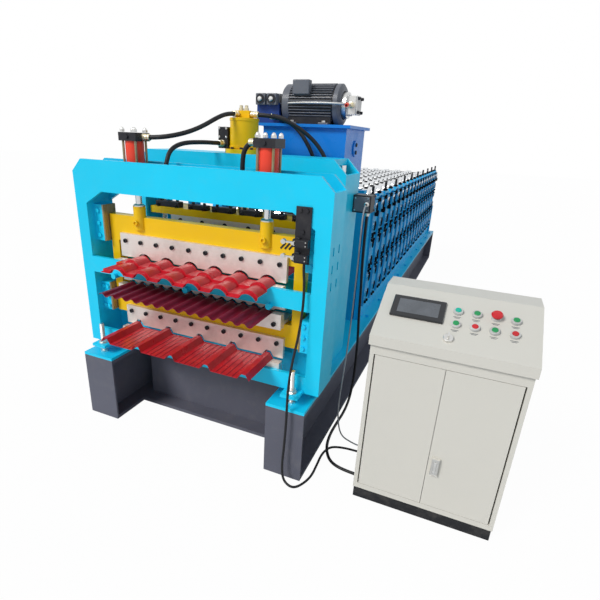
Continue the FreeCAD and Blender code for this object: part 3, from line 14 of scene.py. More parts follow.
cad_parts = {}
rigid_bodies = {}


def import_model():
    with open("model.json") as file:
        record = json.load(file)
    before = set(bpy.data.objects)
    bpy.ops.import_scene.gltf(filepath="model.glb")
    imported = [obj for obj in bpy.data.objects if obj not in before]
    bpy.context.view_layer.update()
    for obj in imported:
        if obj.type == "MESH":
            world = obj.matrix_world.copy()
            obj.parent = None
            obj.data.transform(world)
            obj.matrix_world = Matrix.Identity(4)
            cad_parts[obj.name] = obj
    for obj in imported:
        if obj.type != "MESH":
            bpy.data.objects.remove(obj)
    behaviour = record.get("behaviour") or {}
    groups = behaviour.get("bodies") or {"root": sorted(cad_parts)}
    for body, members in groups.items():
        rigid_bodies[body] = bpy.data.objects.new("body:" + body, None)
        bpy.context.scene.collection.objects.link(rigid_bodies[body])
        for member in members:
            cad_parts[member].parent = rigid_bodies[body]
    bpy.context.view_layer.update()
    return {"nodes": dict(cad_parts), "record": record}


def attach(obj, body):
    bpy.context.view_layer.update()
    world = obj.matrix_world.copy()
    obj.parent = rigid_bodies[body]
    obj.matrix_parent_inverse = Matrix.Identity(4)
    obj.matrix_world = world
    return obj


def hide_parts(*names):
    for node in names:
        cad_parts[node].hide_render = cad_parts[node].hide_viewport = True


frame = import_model()
nodes = frame["nodes"]
random.seed(7)

# %% [markdown]
# ## The camera
# The photo was taken by hand at eye level, a little right of the middle, with a wide lens. The
# camera stands where the straight edges of the portal, the beams and the floor say it stood. It
# is rolled a little, because the photographer held it slightly crooked.

# %% Camera
bpy.ops.object.camera_add(location=(1.2575, -2.0185, 1.5914))
camera = bpy.context.object
AIM = ((23.13, "Z"), (68.3, "X"), (2.456, "Z"))  # heading, tilt and roll in degrees
turn = Matrix()
for degrees, about in AIM:
    turn = turn @ Matrix.Rotation(math.radians(degrees), 4, about)
camera.rotation_euler = turn.to_euler()
camera.data.lens = 26.79
camera.data.sensor_width = 36
camera.data.shift_x = 0.0333
camera.data.shift_y = 0.0267
camera.data.clip_end = 60
bpy.context.scene.camera = camera
print("camera at", tuple(round(v, 3) for v in camera.location))

# %% [markdown]
# ## Small helpers
# An operator works on everything that is selected, so each step first deselects all. A finished
# piece keeps its place in its mesh and its object at the origin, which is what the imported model's
# own pieces do, so that one pattern runs over both without a jump.

# %% Select, name and place


def only(piece):
    """Leave edit mode, then select this piece and nothing else."""
    if bpy.context.mode != "OBJECT":
        bpy.ops.object.mode_set(mode="OBJECT")
    bpy.ops.object.select_all(action="DESELECT")
    piece.select_set(True)
    bpy.context.view_layer.objects.active = piece


def settle(piece):
    """Put the place, turn and scale of a piece into its mesh."""
    only(piece)
    bpy.ops.object.transform_apply(location=True, rotation=True, scale=True)
    return piece


def dress(piece, name, finish, body="machine"):
    """Name a piece, give it its finish and let it ride on a body."""
    piece.name = name
    piece.data.name = name
    piece.data.materials.clear()
    piece.data.materials.append(FINISH[finish])
    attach(piece, body)


def smooth(piece, degrees=35):
    """Shade round faces smooth and keep real edges sharp."""
    only(piece)
    bpy.ops.object.shade_smooth_by_angle(angle=math.radians(degrees))
    return piece


def block(low, high, bevel=0.0015, segments=2):
    """A block between two corners with its edges softened."""
    only(camera)
    middle = [(a + b) / 2 for a, b in zip(low, high)]
    size = [b - a for a, b in zip(low, high)]
    bpy.ops.mesh.primitive_cube_add(size=1, location=middle, scale=size)
    piece = settle(bpy.context.object)
    if bevel:
        bpy.ops.object.mode_set(mode="EDIT")
        bpy.ops.mesh.select_all(action="SELECT")
        bpy.ops.mesh.bevel(offset=bevel, segments=segments, affect="EDGES")
        bpy.ops.object.mode_set(mode="OBJECT")
    return piece


def turned(outline, steps=20):
    """A shape turned about Z from (radius, height) points, as on a lathe."""
    only(camera)
    bpy.ops.mesh.primitive_plane_add(size=0.01)
    piece = bpy.context.object
    bpy.ops.object.mode_set(mode="EDIT")
    bpy.ops.mesh.merge(type="CENTER")
    bpy.ops.mesh.select_all(action="SELECT")
    bpy.ops.transform.translate(value=(outline[0][0], 0, outline[0][1]))
    for before, after in zip(outline, outline[1:]):
        step = (after[0] - before[0], 0, after[1] - before[1])
        bpy.ops.mesh.extrude_region_move(TRANSFORM_OT_translate={"value": step})
    bpy.ops.mesh.select_all(action="SELECT")
    bpy.ops.mesh.spin(steps=steps, angle=math.tau, center=(0, 0, 0), axis=(0, 0, 1))
    bpy.ops.mesh.select_all(action="SELECT")
    bpy.ops.mesh.remove_doubles(threshold=0.00005)
    bpy.ops.mesh.normals_make_consistent(inside=False)
    bpy.ops.object.mode_set(mode="OBJECT")
    return smooth(piece)


def joined(pieces):
    """Make one object of several."""
    only(pieces[0])
    for piece in pieces:
        piece.select_set(True)
    if len(pieces) > 1:
        bpy.ops.object.join()
    return bpy.context.view_layer.objects.active


def repeated(source, places):
    """Copy a shape to every point or matrix, each copy with its own mesh, and join them."""
    copies = []
    for place in places:
        matrix = place if isinstance(place, Matrix) else Matrix.Translation(place)
        copy = source.copy()
        copy.data = source.data.copy()
        copy.data.transform(matrix)
        bpy.context.collection.objects.link(copy)
        copies.append(copy)
    bpy.data.objects.remove(source)
    return joined(copies)


TURNS = {"-Y": (90, "X"), "+Y": (-90, "X"), "+X": (90, "Y"), "-X": (-90, "Y"),
         "+Z": (0, "X"), "-Z": (180, "X")}
TOWARD = {way: Matrix.Rotation(math.radians(degrees), 4, about)
          for way, (degrees, about) in TURNS.items()}


def facing(point, toward, spin=0.0):
    """The place of a shape that stands on a surface, with its own Z pointing away from it."""
    return Matrix.Translation(point) @ TOWARD[toward] @ Matrix.Rotation(spin, 4, "Z")


print("directions", sorted(TOWARD))

# %% [markdown]
# ## Finishes
# The machine is sprayed by hand over welded plate, so its paint is glossy but not even: the sheen
# wanders, the coat has a fine orange-peel skin, and dust lies on it in smears and specks. One
# group makes that variation for every painted part. It only gives colours, values and heights, and each
# material keeps its own shader, so the numbers that are the same all over stay on the shader.
# Black iron parts and bolts are blackened and not sprayed, but their sheen varies in the same way.

# %% Group: uneven paint


def new_group(name, inputs):
    """A shader node group with named inputs, which gives a colour, a roughness and a height."""
    tree = bpy.data.node_groups.new(name, "ShaderNodeTree")
    for title, kind, default in inputs:
        socket = tree.interface.new_socket(name=title, in_out="INPUT", socket_type=kind)
        socket.default_value = default
    for title, kind in (("Color", "Color"), ("Roughness", "Float"), ("Height", "Float")):
        tree.interface.new_socket(name=title, in_out="OUTPUT", socket_type="NodeSocket" + kind)
    return tree, tree.nodes.new("NodeGroupInput"), tree.nodes.new("NodeGroupOutput")


def wire(tree, source, target):
    """Join two sockets."""
    tree.links.new(source, target)


def noise(tree, vector, scale, detail=3.0, rough=0.5):
    """A cloudy value between 0 and 1."""
    node = tree.nodes.new("ShaderNodeTexNoise")
    node.inputs["Scale"].default_value = scale
    node.inputs["Detail"].default_value = detail
    node.inputs["Roughness"].default_value = rough
    wire(tree, vector, node.inputs["Vector"])
    return node.outputs["Fac"]


def spread(tree, value, low, high, out_low=0.0, out_high=1.0):
    """Stretch part of a value's range."""
    node = tree.nodes.new("ShaderNodeMapRange")
    node.inputs["From Min"].default_value = low
    node.inputs["From Max"].default_value = high
    node.inputs["To Min"].default_value = out_low
    node.inputs["To Max"].default_value = out_high
    wire(tree, value, node.inputs["Value"])
    return node.outputs["Result"]


def maths(tree, kind, a, b):
    """One sum of two values, each a socket or a number."""
    node = tree.nodes.new("ShaderNodeMath")
    node.operation = kind
    for socket, value in zip(node.inputs, (a, b)):
        if isinstance(value, (int, float)):
            socket.default_value = value
        else:
            wire(tree, value, socket)
    return node.outputs["Value"]


def blended(tree, factor, a, b):
    """A colour between two, each a socket or a colour, by a factor from a socket."""
    node = tree.nodes.new("ShaderNodeMix")
    node.data_type = "RGBA"
    wire(tree, factor, node.inputs["Factor"])
    for socket, value in ((node.inputs["A"], a), (node.inputs["B"], b)):
        if isinstance(value, tuple):
            socket.default_value = value
        else:
            wire(tree, value, socket)
    return node.outputs["Result"]


def uneven_paint_group():
    """Paint whose tone wanders, with dust in smears and specks and a skin like orange peel."""
    tree, start, end = new_group("uneven_paint", [
        ("Vector", "NodeSocketVector", (0, 0, 0)), ("Color", "NodeSocketColor", (0.5, 0.5, 0.5, 1)),
        ("Dust", "NodeSocketColor", (0.35, 0.32, 0.28, 1)), ("Dust Amount", "NodeSocketFloat", 0.2),
        ("Roughness", "NodeSocketFloat", 0.3), ("Shade", "NodeSocketFloat", 0.2),
    ])
    at = start.outputs["Vector"]
    broad = noise(tree, at, 2.2, 4.0)
    smears = noise(tree, at, 13.0, 5.0, 0.65)
    peel = noise(tree, at, 420.0, 2.0)
    specks = noise(tree, at, 95.0, 6.0, 0.7)
    darker = tree.nodes.new("ShaderNodeHueSaturation")
    darker.inputs["Value"].default_value = 0.72
    wire(tree, start.outputs["Color"], darker.inputs["Color"])
    shade = maths(tree, "MULTIPLY", spread(tree, broad, 0.35, 0.7), start.outputs["Shade"])
    tone = blended(tree, shade, start.outputs["Color"], darker.outputs["Color"])
    dust = maths(tree, "MULTIPLY", spread(tree, smears, 0.5, 0.75), start.outputs["Dust Amount"])
    grit = maths(tree, "MULTIPLY", spread(tree, specks, 0.6, 0.72), start.outputs["Dust Amount"])
    dirt = maths(tree, "MAXIMUM", dust, grit)
    wire(tree, blended(tree, dirt, tone, start.outputs["Dust"]), end.inputs["Color"])
    wander = spread(tree, smears, 0.3, 0.8, -0.05, 0.16)
    rough = maths(tree, "ADD", start.outputs["Roughness"], wander)
    wire(tree, rough, end.inputs["Roughness"])
    wire(tree, maths(tree, "ADD", peel, maths(tree, "MULTIPLY", smears, 0.6)), end.inputs["Height"])
    return tree


uneven_paint = uneven_paint_group()


# %% Materials built on the paint group


def shader_material(name):
    """A material with one shader, and the object's own coordinates."""
    material = bpy.data.materials.new(name)
    material.use_nodes = True
    tree = material.node_tree
    shader = tree.nodes["Principled BSDF"]
    place = tree.nodes.new("ShaderNodeTexCoord").outputs["Object"]
    return material, tree, shader, place


def bump(tree, shader, height, strength):
    """Raise a shader's surface by a height, at most a millimetre."""
    node = tree.nodes.new("ShaderNodeBump")
    node.inputs["Strength"].default_value = strength
    node.inputs["Distance"].default_value = 0.001
    wire(tree, height, node.inputs["Height"])
    wire(tree, node.outputs["Normal"], shader.inputs["Normal"])


def painted(name, color, roughness, dust, shade=0.25, coat=0.1, peel=0.12, gloss=0.22):
    """Sprayed paint in one colour."""
    material, tree, shader, place = shader_material(name)
    group = tree.nodes.new("ShaderNodeGroup")
    group.node_tree = uneven_paint
    group.inputs["Color"].default_value = (*color, 1)
    group.inputs["Dust Amount"].default_value = dust
    group.inputs["Roughness"].default_value = roughness
    group.inputs["Shade"].default_value = shade
    wire(tree, place, group.inputs["Vector"])
    wire(tree, group.outputs["Color"], shader.inputs["Base Color"])
    wire(tree, group.outputs["Roughness"], shader.inputs["Roughness"])
    shader.inputs["Specular IOR Level"].default_value = gloss
    shader.inputs["Coat Weight"].default_value = coat
    shader.inputs["Coat Roughness"].default_value = 0.15
    bump(tree, shader, group.outputs["Height"], peel)
    return material


PAINT = {
    "plate_blue": painted("plate_blue", (0.008, 0.66, 0.96), 0.33, 0.04),
    "stand_blue": painted("stand_blue", (0.01, 0.5, 0.9), 0.35, 0.05),
    "block_blue": painted("block_blue", (0.02, 0.36, 0.7), 0.42, 0.08, 0.4, 0.05, 0.12, 0.1),
    "tank_blue": painted("tank_blue", (0.006, 0.22, 0.72), 0.3, 0.03),
    "base_grey": painted("base_grey", (0.12, 0.124, 0.16), 0.42, 0.1, 0.45),
    "frame_yellow": painted("frame_yellow", (0.94, 0.575, 0.004), 0.33, 0.04),
    "cylinder_red": painted("cylinder_red", (0.98, 0.07, 0.035), 0.38, 0.04),
    "cabinet_ivory": painted("cabinet_ivory", (0.66, 0.64, 0.58), 0.42, 0.02, 0.06, 0.1, 0.2),
    "manifold_navy": painted("manifold_navy", (0.012, 0.05, 0.24), 0.35, 0.06),
    "motor_black": painted("motor_black", (0.15, 0.158, 0.182), 0.42, 0.08, 0.3, 0.1, 0.2),
    "plinth_black": painted("plinth_black", (0.016, 0.017, 0.02), 0.45, 0.12),
    "black_oxide": painted("black_oxide", (0.022, 0.022, 0.027), 0.4, 0.08, 0.3, 0.1),
    "bolt_black": painted("bolt_black", (0.012, 0.012, 0.015), 0.6, 0.05, 0.2, 0.0, 0.1, 0.0),
}
print("paints", sorted(PAINT))

# %% [markdown]
# ## Bare metal
# Ground blades, turned rolls and plated nuts are all steel, but each was worked in its own way.
# A ground face has fine straight scratches, so its noise is stretched along the cut. Chrome is
# smooth and only faintly marked. The same group makes both, with its stretch and strength set.

# %% Group: worked metal


def worked_metal_group():
    """Metal with fine lines along its cut and faint stains."""
    tree, start, end = new_group("worked_metal", [
        ("Vector", "NodeSocketVector", (0, 0, 0)), ("Stretch", "NodeSocketVector", (6, 200, 200)),
        ("Color", "NodeSocketColor", (0.6, 0.6, 0.6, 1)),
        ("Stain", "NodeSocketColor", (0.2, 0.15, 0.1, 1)),
        ("Stain Amount", "NodeSocketFloat", 0.2), ("Roughness", "NodeSocketFloat", 0.3),
    ])
    scaled = tree.nodes.new("ShaderNodeVectorMath")
    scaled.operation = "MULTIPLY"
    wire(tree, start.outputs["Vector"], scaled.inputs[0])
    wire(tree, start.outputs["Stretch"], scaled.inputs[1])
    lines = noise(tree, scaled.outputs["Vector"], 1.0, 4.0, 0.6)
    clouds = noise(tree, start.outputs["Vector"], 9.0, 5.0, 0.6)
    stain = maths(tree, "MULTIPLY", spread(tree, clouds, 0.45, 0.75), start.outputs["Stain Amount"])
    shine = spread(tree, lines, 0.3, 0.7, 0.0, 0.25)
    streak = blended(tree, shine, start.outputs["Color"], (0.9, 0.9, 0.9, 1))
    wire(tree, blended(tree, stain, streak, start.outputs["Stain"]), end.inputs["Color"])
    wander = spread(tree, clouds, 0.3, 0.8, -0.06, 0.18)
    rough = maths(tree, "ADD", start.outputs["Roughness"], wander)
    wire(tree, rough, end.inputs["Roughness"])
    wire(tree, lines, end.inputs["Height"])
    return tree


worked_metal = worked_metal_group()


def metal(name, color, roughness, stretch, stain, scratch, metallic=1.0):
    """Bare or plated metal."""
    material, tree, shader, place = shader_material(name)
    group = tree.nodes.new("ShaderNodeGroup")
    group.node_tree = worked_metal
    group.inputs["Color"].default_value = (*color, 1)
    group.inputs["Stain"].default_value = (0.16, 0.12, 0.09, 1)
    group.inputs["Stretch"].default_value = stretch
    group.inputs["Stain Amount"].default_value = stain
    group.inputs["Roughness"].default_value = roughness
    wire(tree, place, group.inputs["Vector"])
    wire(tree, group.outputs["Color"], shader.inputs["Base Color"])
    wire(tree, group.outputs["Roughness"], shader.inputs["Roughness"])
    shader.inputs["Metallic"].default_value = metallic
    bump(tree, shader, group.outputs["Height"], scratch)
    return material


METAL = {
    "blade_steel": metal("blade_steel", (0.84, 0.76, 0.69), 0.38, (5, 160, 160), 0.3, 0.1, 0.5),
    "roll_chrome": metal("roll_chrome", (0.86, 0.87, 0.88), 0.18, (40, 240, 40), 0.1, 0.04),
    "zinc": metal("zinc", (0.72, 0.71, 0.68), 0.28, (90, 90, 90), 0.1, 0.05),
    "liner_brass": metal("liner_brass", (0.3, 0.23, 0.09), 0.38, (60, 60, 9), 0.6, 0.06, 0.6),
    "fitting": metal("fitting", (0.75, 0.66, 0.42), 0.3, (90, 90, 90), 0.15, 0.05),
    "cast_grey": metal("cast_grey", (0.5, 0.5, 0.49), 0.45, (150, 150, 150), 0.1, 0.2, 0.6),
}

# %% [markdown]
# ## Coated sheet, rubber and plastic
# The roofing sheets are colour-coated coil: a hard, even, glossy film over thin steel, with soft
# reflections that follow every wave. Hoses are matt rubber with a faint grain in the cover, so
# they get a fine noise bump. Cables, the screen and the buttons are smooth plastic.

# %% Sheets, rubber, plastic


def plain(name, color, roughness, coat=0.0, grain=0.0, scale=300.0):
    """An even material with a little grain and wear in its sheen."""
    material, tree, shader, place = shader_material(name)
    clouds = noise(tree, place, 18.0, 4.0)
    deep = tuple(c * 0.78 for c in color)
    tone = blended(tree, spread(tree, clouds, 0.35, 0.7), (*color, 1), (*deep, 1))
    rough = spread(tree, clouds, 0.3, 0.75, roughness - 0.04, roughness + 0.1)
    wire(tree, tone, shader.inputs["Base Color"])
    wire(tree, rough, shader.inputs["Roughness"])
    shader.inputs["Specular IOR Level"].default_value = 0.3
    shader.inputs["Coat Weight"].default_value = coat
    shader.inputs["Coat Roughness"].default_value = 0.12
    if grain:
        bump(tree, shader, noise(tree, place, scale, 3.0), grain)
    return material


PLAIN = {
    "sheet_red": plain("sheet_red", (0.64, 0.014, 0.03), 0.3, 0.2, 0.02),
    "sheet_maroon": plain("sheet_maroon", (0.27, 0.012, 0.036), 0.34, 0.15, 0.02),
    "hose_rubber": plain("hose_rubber", (0.014, 0.014, 0.016), 0.42, 0.0, 0.25, 900.0),
    "cable_grey": plain("cable_grey", (0.42, 0.43, 0.45), 0.4, 0.0, 0.05),
    "screen_black": plain("screen_black", (0.012, 0.013, 0.016), 0.18, 0.6, 0.0),
    "panel_grey": plain("panel_grey", (0.13, 0.14, 0.155), 0.25, 0.3, 0.0),
    "panel_pale": plain("panel_pale", (0.62, 0.62, 0.6), 0.4),
    "button_green": plain("button_green", (0.01, 0.34, 0.1), 0.25, 0.4),
    "button_red": plain("button_red", (0.62, 0.012, 0.02), 0.25, 0.4),
    "button_teal": plain("button_teal", (0.0, 0.5, 0.36), 0.25, 0.4),
}
FINISH = {**PAINT, **METAL, **PLAIN}
print("finishes", len(FINISH))

# %% [markdown]
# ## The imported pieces
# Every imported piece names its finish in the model's record. The bearing blocks differ: they are a
# darker and duller blue than the walls that hold them.

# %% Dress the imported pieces
slots = {part["node"]: part["material_slot"] for part in frame["record"]["subparts"]}
for name, node in nodes.items():
    node.data.materials.clear()
    node.data.materials.append(FINISH["block_blue" if name == "bearing_blocks" else slots[name]])
print("nodes dressed", len(nodes))

# %% [markdown]
# ## Hoses and cables
# A hose is a curve with a round section. Its line is one smooth spline through the places where
# the hose leaves a fitting, sags, and lies on the floor. The spline's order is set after its
# points, or it would stay a row of straight runs.

# %% Cords
CORDS = {
    "hose_left_top": (0.022, [
        (-0.3175, -0.14, 1.5695), (-0.2255, -0.14, 1.5695), (-0.1305, -0.074, 1.5915),
        (-0.095, 0.0385, 1.627), (-0.052, 0.1605, 1.689), (-0.03, 0.2305, 1.703),
        (-0.03, 0.2965, 1.703)]),
    "hose_left_low": (0.022, [
        (-0.3175, -0.14, 1.3495), (-0.2625, -0.14, 1.3495), (-0.2105, -0.138, 1.3835),
        (-0.1915, -0.131, 1.4495), (-0.1895, -0.1, 1.5175), (-0.1715, -0.018, 1.5515),
        (-0.13, 0.1155, 1.5565), (-0.108, 0.2035, 1.5535), (-0.108, 0.2735, 1.5535)]),
    "hose_right_top": (0.022, [
        (0.3175, -0.14, 1.5695), (0.2775, -0.14, 1.5695), (0.2435, -0.139, 1.5335),
        (0.2355, -0.136, 1.4655), (0.2395, -0.138, 1.3995), (0.2395, -0.138, 1.33)]),
    "hose_press_return": (0.022, [
        (0.04, 0.3185, 1.703), (0.122, 0.3185, 1.703), (0.212, 0.3565, 1.687),
        (0.296, 0.4125, 1.641), (0.37, 0.461, 1.575), (0.426, 0.473, 1.499),
        (0.446, 0.477, 1.427), (0.452, 0.501, 1.34), (0.452, 0.567, 1.34)]),
    "hose_press_feed": (0.022, [
        (0.035, 0.627, 1.707), (0.035, 0.585, 1.707), (0.078, 0.535, 1.711),
        (0.168, 0.509, 1.689), (0.252, 0.506, 1.633), (0.312, 0.505, 1.553), (0.334, 0.52, 1.502),
        (0.341, 0.538, 1.452), (0.341, 0.538, 1.377), (0.341, 0.45, 1.377)]),
    "cable_switches": (0.012, [
        (0.606, -0.254, 1.0967), (0.606, -0.254, 1.057), (0.614, -0.256, 1.005),
        (0.618, -0.263, 0.892), (0.61, -0.281, 0.752), (0.6, -0.325, 0.617),
        (0.602, -0.357, 0.495), (0.608, -0.369, 0.36), (0.603, -0.368, 0.21),
        (0.598, -0.373, 0.095), (0.612, -0.387, 0.026), (0.658, -0.401, 0.0065),
        (0.694, -0.381, 0.0065), (0.726, -0.293, 0.0065), (0.724, -0.195, 0.0125),
        (0.727, -0.129, 0.0385), (0.748, -0.059, 0.0405), (0.8, 0.0, 0.0145),
        (0.877, 0.017, 0.0065), (0.948, 0.017, 0.0065)]),
    "cable_supply": (0.016, [
        (0.706, 0.405, 1.24), (0.706, 0.405, 1.11), (0.708, 0.414, 0.95), (0.712, 0.436, 0.79),
        (0.711, 0.462, 0.62), (0.715, 0.492, 0.45), (0.713, 0.512, 0.29), (0.714, 0.502, 0.16),
        (0.713, 0.452, 0.05), (0.71, 0.352, 0.0085), (0.704, 0.214, 0.0085),
        (0.703, 0.08, 0.0085), (0.722, -0.038, 0.0085), (0.774, -0.136, 0.0085),
        (0.862, -0.168, 0.0085), (0.948, -0.168, 0.0085)]),
    "cable_signal": (0.008, [
        (0.71, 0.36, 1.285), (0.71, 0.33, 1.285), (0.711, 0.298, 1.26), (0.711, 0.288, 1.19),
        (0.712, 0.284, 1.08), (0.715, 0.276, 0.965), (0.717, 0.262, 0.852), (0.72, 0.248, 0.74),
        (0.723, 0.226, 0.628), (0.726, 0.198, 0.518), (0.73, 0.16, 0.41), (0.733, 0.116, 0.31),
        (0.738, 0.08, 0.214), (0.748, 0.068, 0.118), (0.772, 0.074, 0.034),
        (0.828, 0.082, 0.0045), (0.886, 0.068, 0.0045), (0.948, 0.068, 0.0045)]),
}


def spline_curve(name, points, diameter):
    """A smooth round cord through its control points."""
    data = bpy.data.curves.new(name, "CURVE")
    data.dimensions = "3D"
    spline = data.splines.new("NURBS")
    spline.points.add(len(points) - 1)
    for point, place in zip(spline.points, points):
        point.co = (*place, 1)
    spline.order_u = 3
    spline.use_endpoint_u = True
    spline.resolution_u = 10
    data.bevel_depth = diameter / 2
    data.bevel_resolution = 5
    data.use_fill_caps = True
    piece = bpy.data.objects.new(name, data)
    bpy.context.collection.objects.link(piece)
    return piece


def line_points(piece):
    """Points along a cord's centre line."""
    bare = piece.copy()
    bare.data = piece.data.copy()
    bare.data.bevel_depth = 0
    bpy.context.collection.objects.link(bare)
    bpy.context.view_layer.update()
    solved = bare.evaluated_get(bpy.context.evaluated_depsgraph_get())
    mesh = bpy.data.meshes.new_from_object(solved)
    points = [v.co.copy() for v in mesh.vertices]
    bpy.data.objects.remove(bare)
    return points


for name, (diameter, points) in CORDS.items():
    title = name.replace("hose", "oil_hose").replace("cable", "desk_cable")
    cord = spline_curve(title, points, diameter)
    cord.data.materials.append(FINISH[slots[name]])
    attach(cord, "machine")
    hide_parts(name)
    line = line_points(cord)

# %% [markdown]
# ## Bolts that repeat
# The same few fasteners hold the whole machine, so each is turned or cut once and copied. The
# blades are held by black socket screws, the guides by hexagon screws, and the cylinder
# heads by bright acorn nuts. Screws that are tightened by hand stop at any angle.

# %% Fastener shapes
AXIS = 0.0001  # a turned outline that closes does so this near its axis
LOOKS_UP = 0.9  # the normal of a face that looks up rises more than this
HEX_RAISED = 0.14  # how far a hexagon stands off its surface, as a part of its height


def socket_screw(radius, height):
    """A cylinder head with a recess in its top."""
    only(camera)
    bpy.ops.mesh.primitive_cylinder_add(vertices=18, radius=radius, depth=height,
                                        location=(0, 0, height / 2))
    head = settle(bpy.context.object)
    bpy.ops.object.mode_set(mode="EDIT")
    bpy.ops.mesh.select_all(action="DESELECT")
    bpy.ops.object.mode_set(mode="OBJECT")
    for face in head.data.polygons:
        face.select = face.normal.z > LOOKS_UP
    bpy.ops.object.mode_set(mode="EDIT")
    bpy.ops.mesh.inset(thickness=radius * 0.12)
    bpy.ops.transform.translate(value=(0, 0, radius * 0.08))
    bpy.ops.mesh.inset(thickness=radius * 0.3)
    bpy.ops.mesh.extrude_region_move(TRANSFORM_OT_translate={"value": (0, 0, -height * 0.6)})
    bpy.ops.object.mode_set(mode="OBJECT")
    return smooth(head, 40)


def hex_screw(radius, height):
    """A plain hexagon head that stands a little off its surface."""
    only(camera)
    bpy.ops.mesh.primitive_cylinder_add(vertices=6, radius=radius, depth=height,
                                        location=(0, 0, height * (0.5 + HEX_RAISED)))
    return settle(bpy.context.object)


def acorn_nut(radius, height):
    """A domed nut: a hexagon below a turned dome."""
    low = hex_screw(radius, height * 0.45)
    dome = turned([(radius * 0.84, height * 0.45), (radius * 0.8, height * 0.62),
                   (radius * 0.6, height * 0.84), (radius * 0.3, height * 0.96),
                   (AXIS, height)], 14)
    return joined([low, dome])


# %% Place, repeat and refinish


def loose(point, toward):
    """A place on a surface for a screw that stopped at a chance angle."""
    return facing(point, toward, random.random())


def fasten(name, shape, places, finish, body="machine"):
    """Copy a shape to all its places as one finished piece."""
    dress(repeated(shape, places), name, finish, body)


def second_finish(name, finish, chosen):
    """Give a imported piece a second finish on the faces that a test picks."""
    node = nodes[name]
    node.data.materials.append(FINISH[finish])
    for face in node.data.polygons:
        if chosen(face):
            face.material_index = 1


def across(count, half):
    """Even steps from one side to the other."""
    return [-half + 2 * half * i / (count - 1) for i in range(count)]


# %% Blade screws
BLADE_FACE = -0.168
LOW_BLADE_FACE = -0.213
row = across(10, 0.455)
screws = [loose((x, BLADE_FACE, height), "-Y") for height in (1.046, 0.642) for x in row]
fasten("upper_blade_screws", socket_screw(0.0115, 0.009), screws, "black_oxide", "cutter")
fasten("lower_blade_screws", socket_screw(0.0115, 0.009),
       [loose((x, LOW_BLADE_FACE, 0.762), "-Y") for x in row], "black_oxide")
print("blade screws", len(screws))

# %% [markdown]
# ## Cutter cylinders
# Each head is pulled onto its barrel by four rods. A bright acorn nut closes the rod on top, and
# a plain nut sits on the lower head. Every hose leaves through a fitting: a hexagon, then a
# crimped sleeve that grips the rubber.

# %% Nuts and rod sockets
CYLINDERS = (-0.37, 0.37)
CYLINDER_Y = -0.14
ROD_OFFSETS = (-0.038, 0.038)
HEAD_TOP, FOOT_TOP = 1.589, 1.369
rods = [(x + a, CYLINDER_Y + b) for x in CYLINDERS for a in ROD_OFFSETS for b in ROD_OFFSETS]
fasten("head_acorn_nuts", acorn_nut(0.0125, 0.024),
       [loose((x, y, HEAD_TOP), "+Z") for x, y in rods], "zinc")
fasten("foot_nuts", hex_screw(0.012, 0.009),
       [loose((x, y, FOOT_TOP), "+Z") for x, y in rods], "zinc")
fasten("rod_socket_bolts", socket_screw(0.014, 0.012),
       [facing((x, -0.1715, 1.15), "-Y") for x in CYLINDERS], "frame_yellow", "cutter")
fasten("rod_lock_rings",
       turned([(0.0165, 0), (0.03, 0), (0.03, 0.006), (0.022, 0.012), (0.0165, 0.012)], 24),
       [(x, CYLINDER_Y, 1.233) for x in CYLINDERS], "zinc", "cutter")
fasten("port_plugs", hex_screw(0.01, 0.007),
       [loose((x, -0.1925, z), "-Y") for x in CYLINDERS for z in (1.3495, 1.5695)], "black_oxide")
print("nuts", len(rods) * 2)

# %% Hose fittings
HOSE_WAYS = {"hose_left_top": ("+X", "-Y"), "hose_left_low": ("+X", "-Y"),
             "hose_right_top": ("-X", "+Z"), "hose_press_return": ("+X", "-Y"),
             "hose_press_feed": ("-Y", "+Y")}
fitting = turned([(0.0118, 0), (0.0165, 0), (0.0165, 0.013), (0.0135, 0.015), (0.0135, 0.019),
                  (0.0158, 0.021), (0.0158, 0.029), (0.0148, 0.031), (0.0158, 0.033),
                  (0.0158, 0.041), (0.0145, 0.045), (0.0118, 0.046)], 20)
hose_ends = []
for name, ways in HOSE_WAYS.items():
    points = CORDS[name][1]
    hose_ends += [facing(points[0], ways[0]), facing(points[-1], ways[1])]
fasten("hose_fittings", fitting, hose_ends, "fitting")
print("hose ends", len(hose_ends))

# %% [markdown]
# ## Guides, levelling feet and limit switches
# The guide blocks are screwed to the columns, three screws in a row above and six below. Each foot
# of the portal stands on a threaded stud, so it can be levelled. The two switches end the
# cutter's stroke: each has a cast case with a screwed cover, and a bright lever on a pivot.

# %% Guide screws
GUIDE_FACE = -0.185
guides = [(s * 0.613, z) for s in (-1, 1) for z in (1.062, 1.128, 1.194)]
guides += [(s * x, z) for s in (-1, 1) for x in (0.599, 0.627) for z in (0.655, 0.712, 0.769)]
fasten("guide_block_screws", hex_screw(0.0115, 0.008),
       [loose((x, GUIDE_FACE, z), "-Y") for x, z in guides], "plate_blue")
print("guide screws", len(guides))

# %% Levelling studs
THREAD_PITCH = 0.0033
STUD_REACH = 0.024
studs = [(s * 0.59, y) for s in (-1, 1) for y in (-0.273, -0.006)]
ridges = []
for i in range(26):
    low = 0.482 + i * THREAD_PITCH
    ridges += [(0.0118, low), (0.0132, low + 0.0016)]
fasten("stud_threads", turned([(AXIS, 0.4815)] + ridges + [(0.0112, 0.572), (AXIS, 0.573)], 18),
       [(x, y, 0) for x, y in studs], "zinc")
fasten("stud_washers", turned([(0.0126, 0), (0.027, 0), (0.027, 0.004), (0.0126, 0.004)], 24),
       [(x, y, z) for x, y in studs for z in (0.436, 0.455)], "zinc")


def on_stud(face):
    """True on a stud and its nuts, and false on the blue lug between them."""
    near = min(math.hypot(face.center.x - x, face.center.y - y) for x, y in studs)
    return near < STUD_REACH and not 0.4405 < face.center.z < 0.4545


second_finish("levelling_feet", "zinc", on_stud)
print("studs", len(studs))

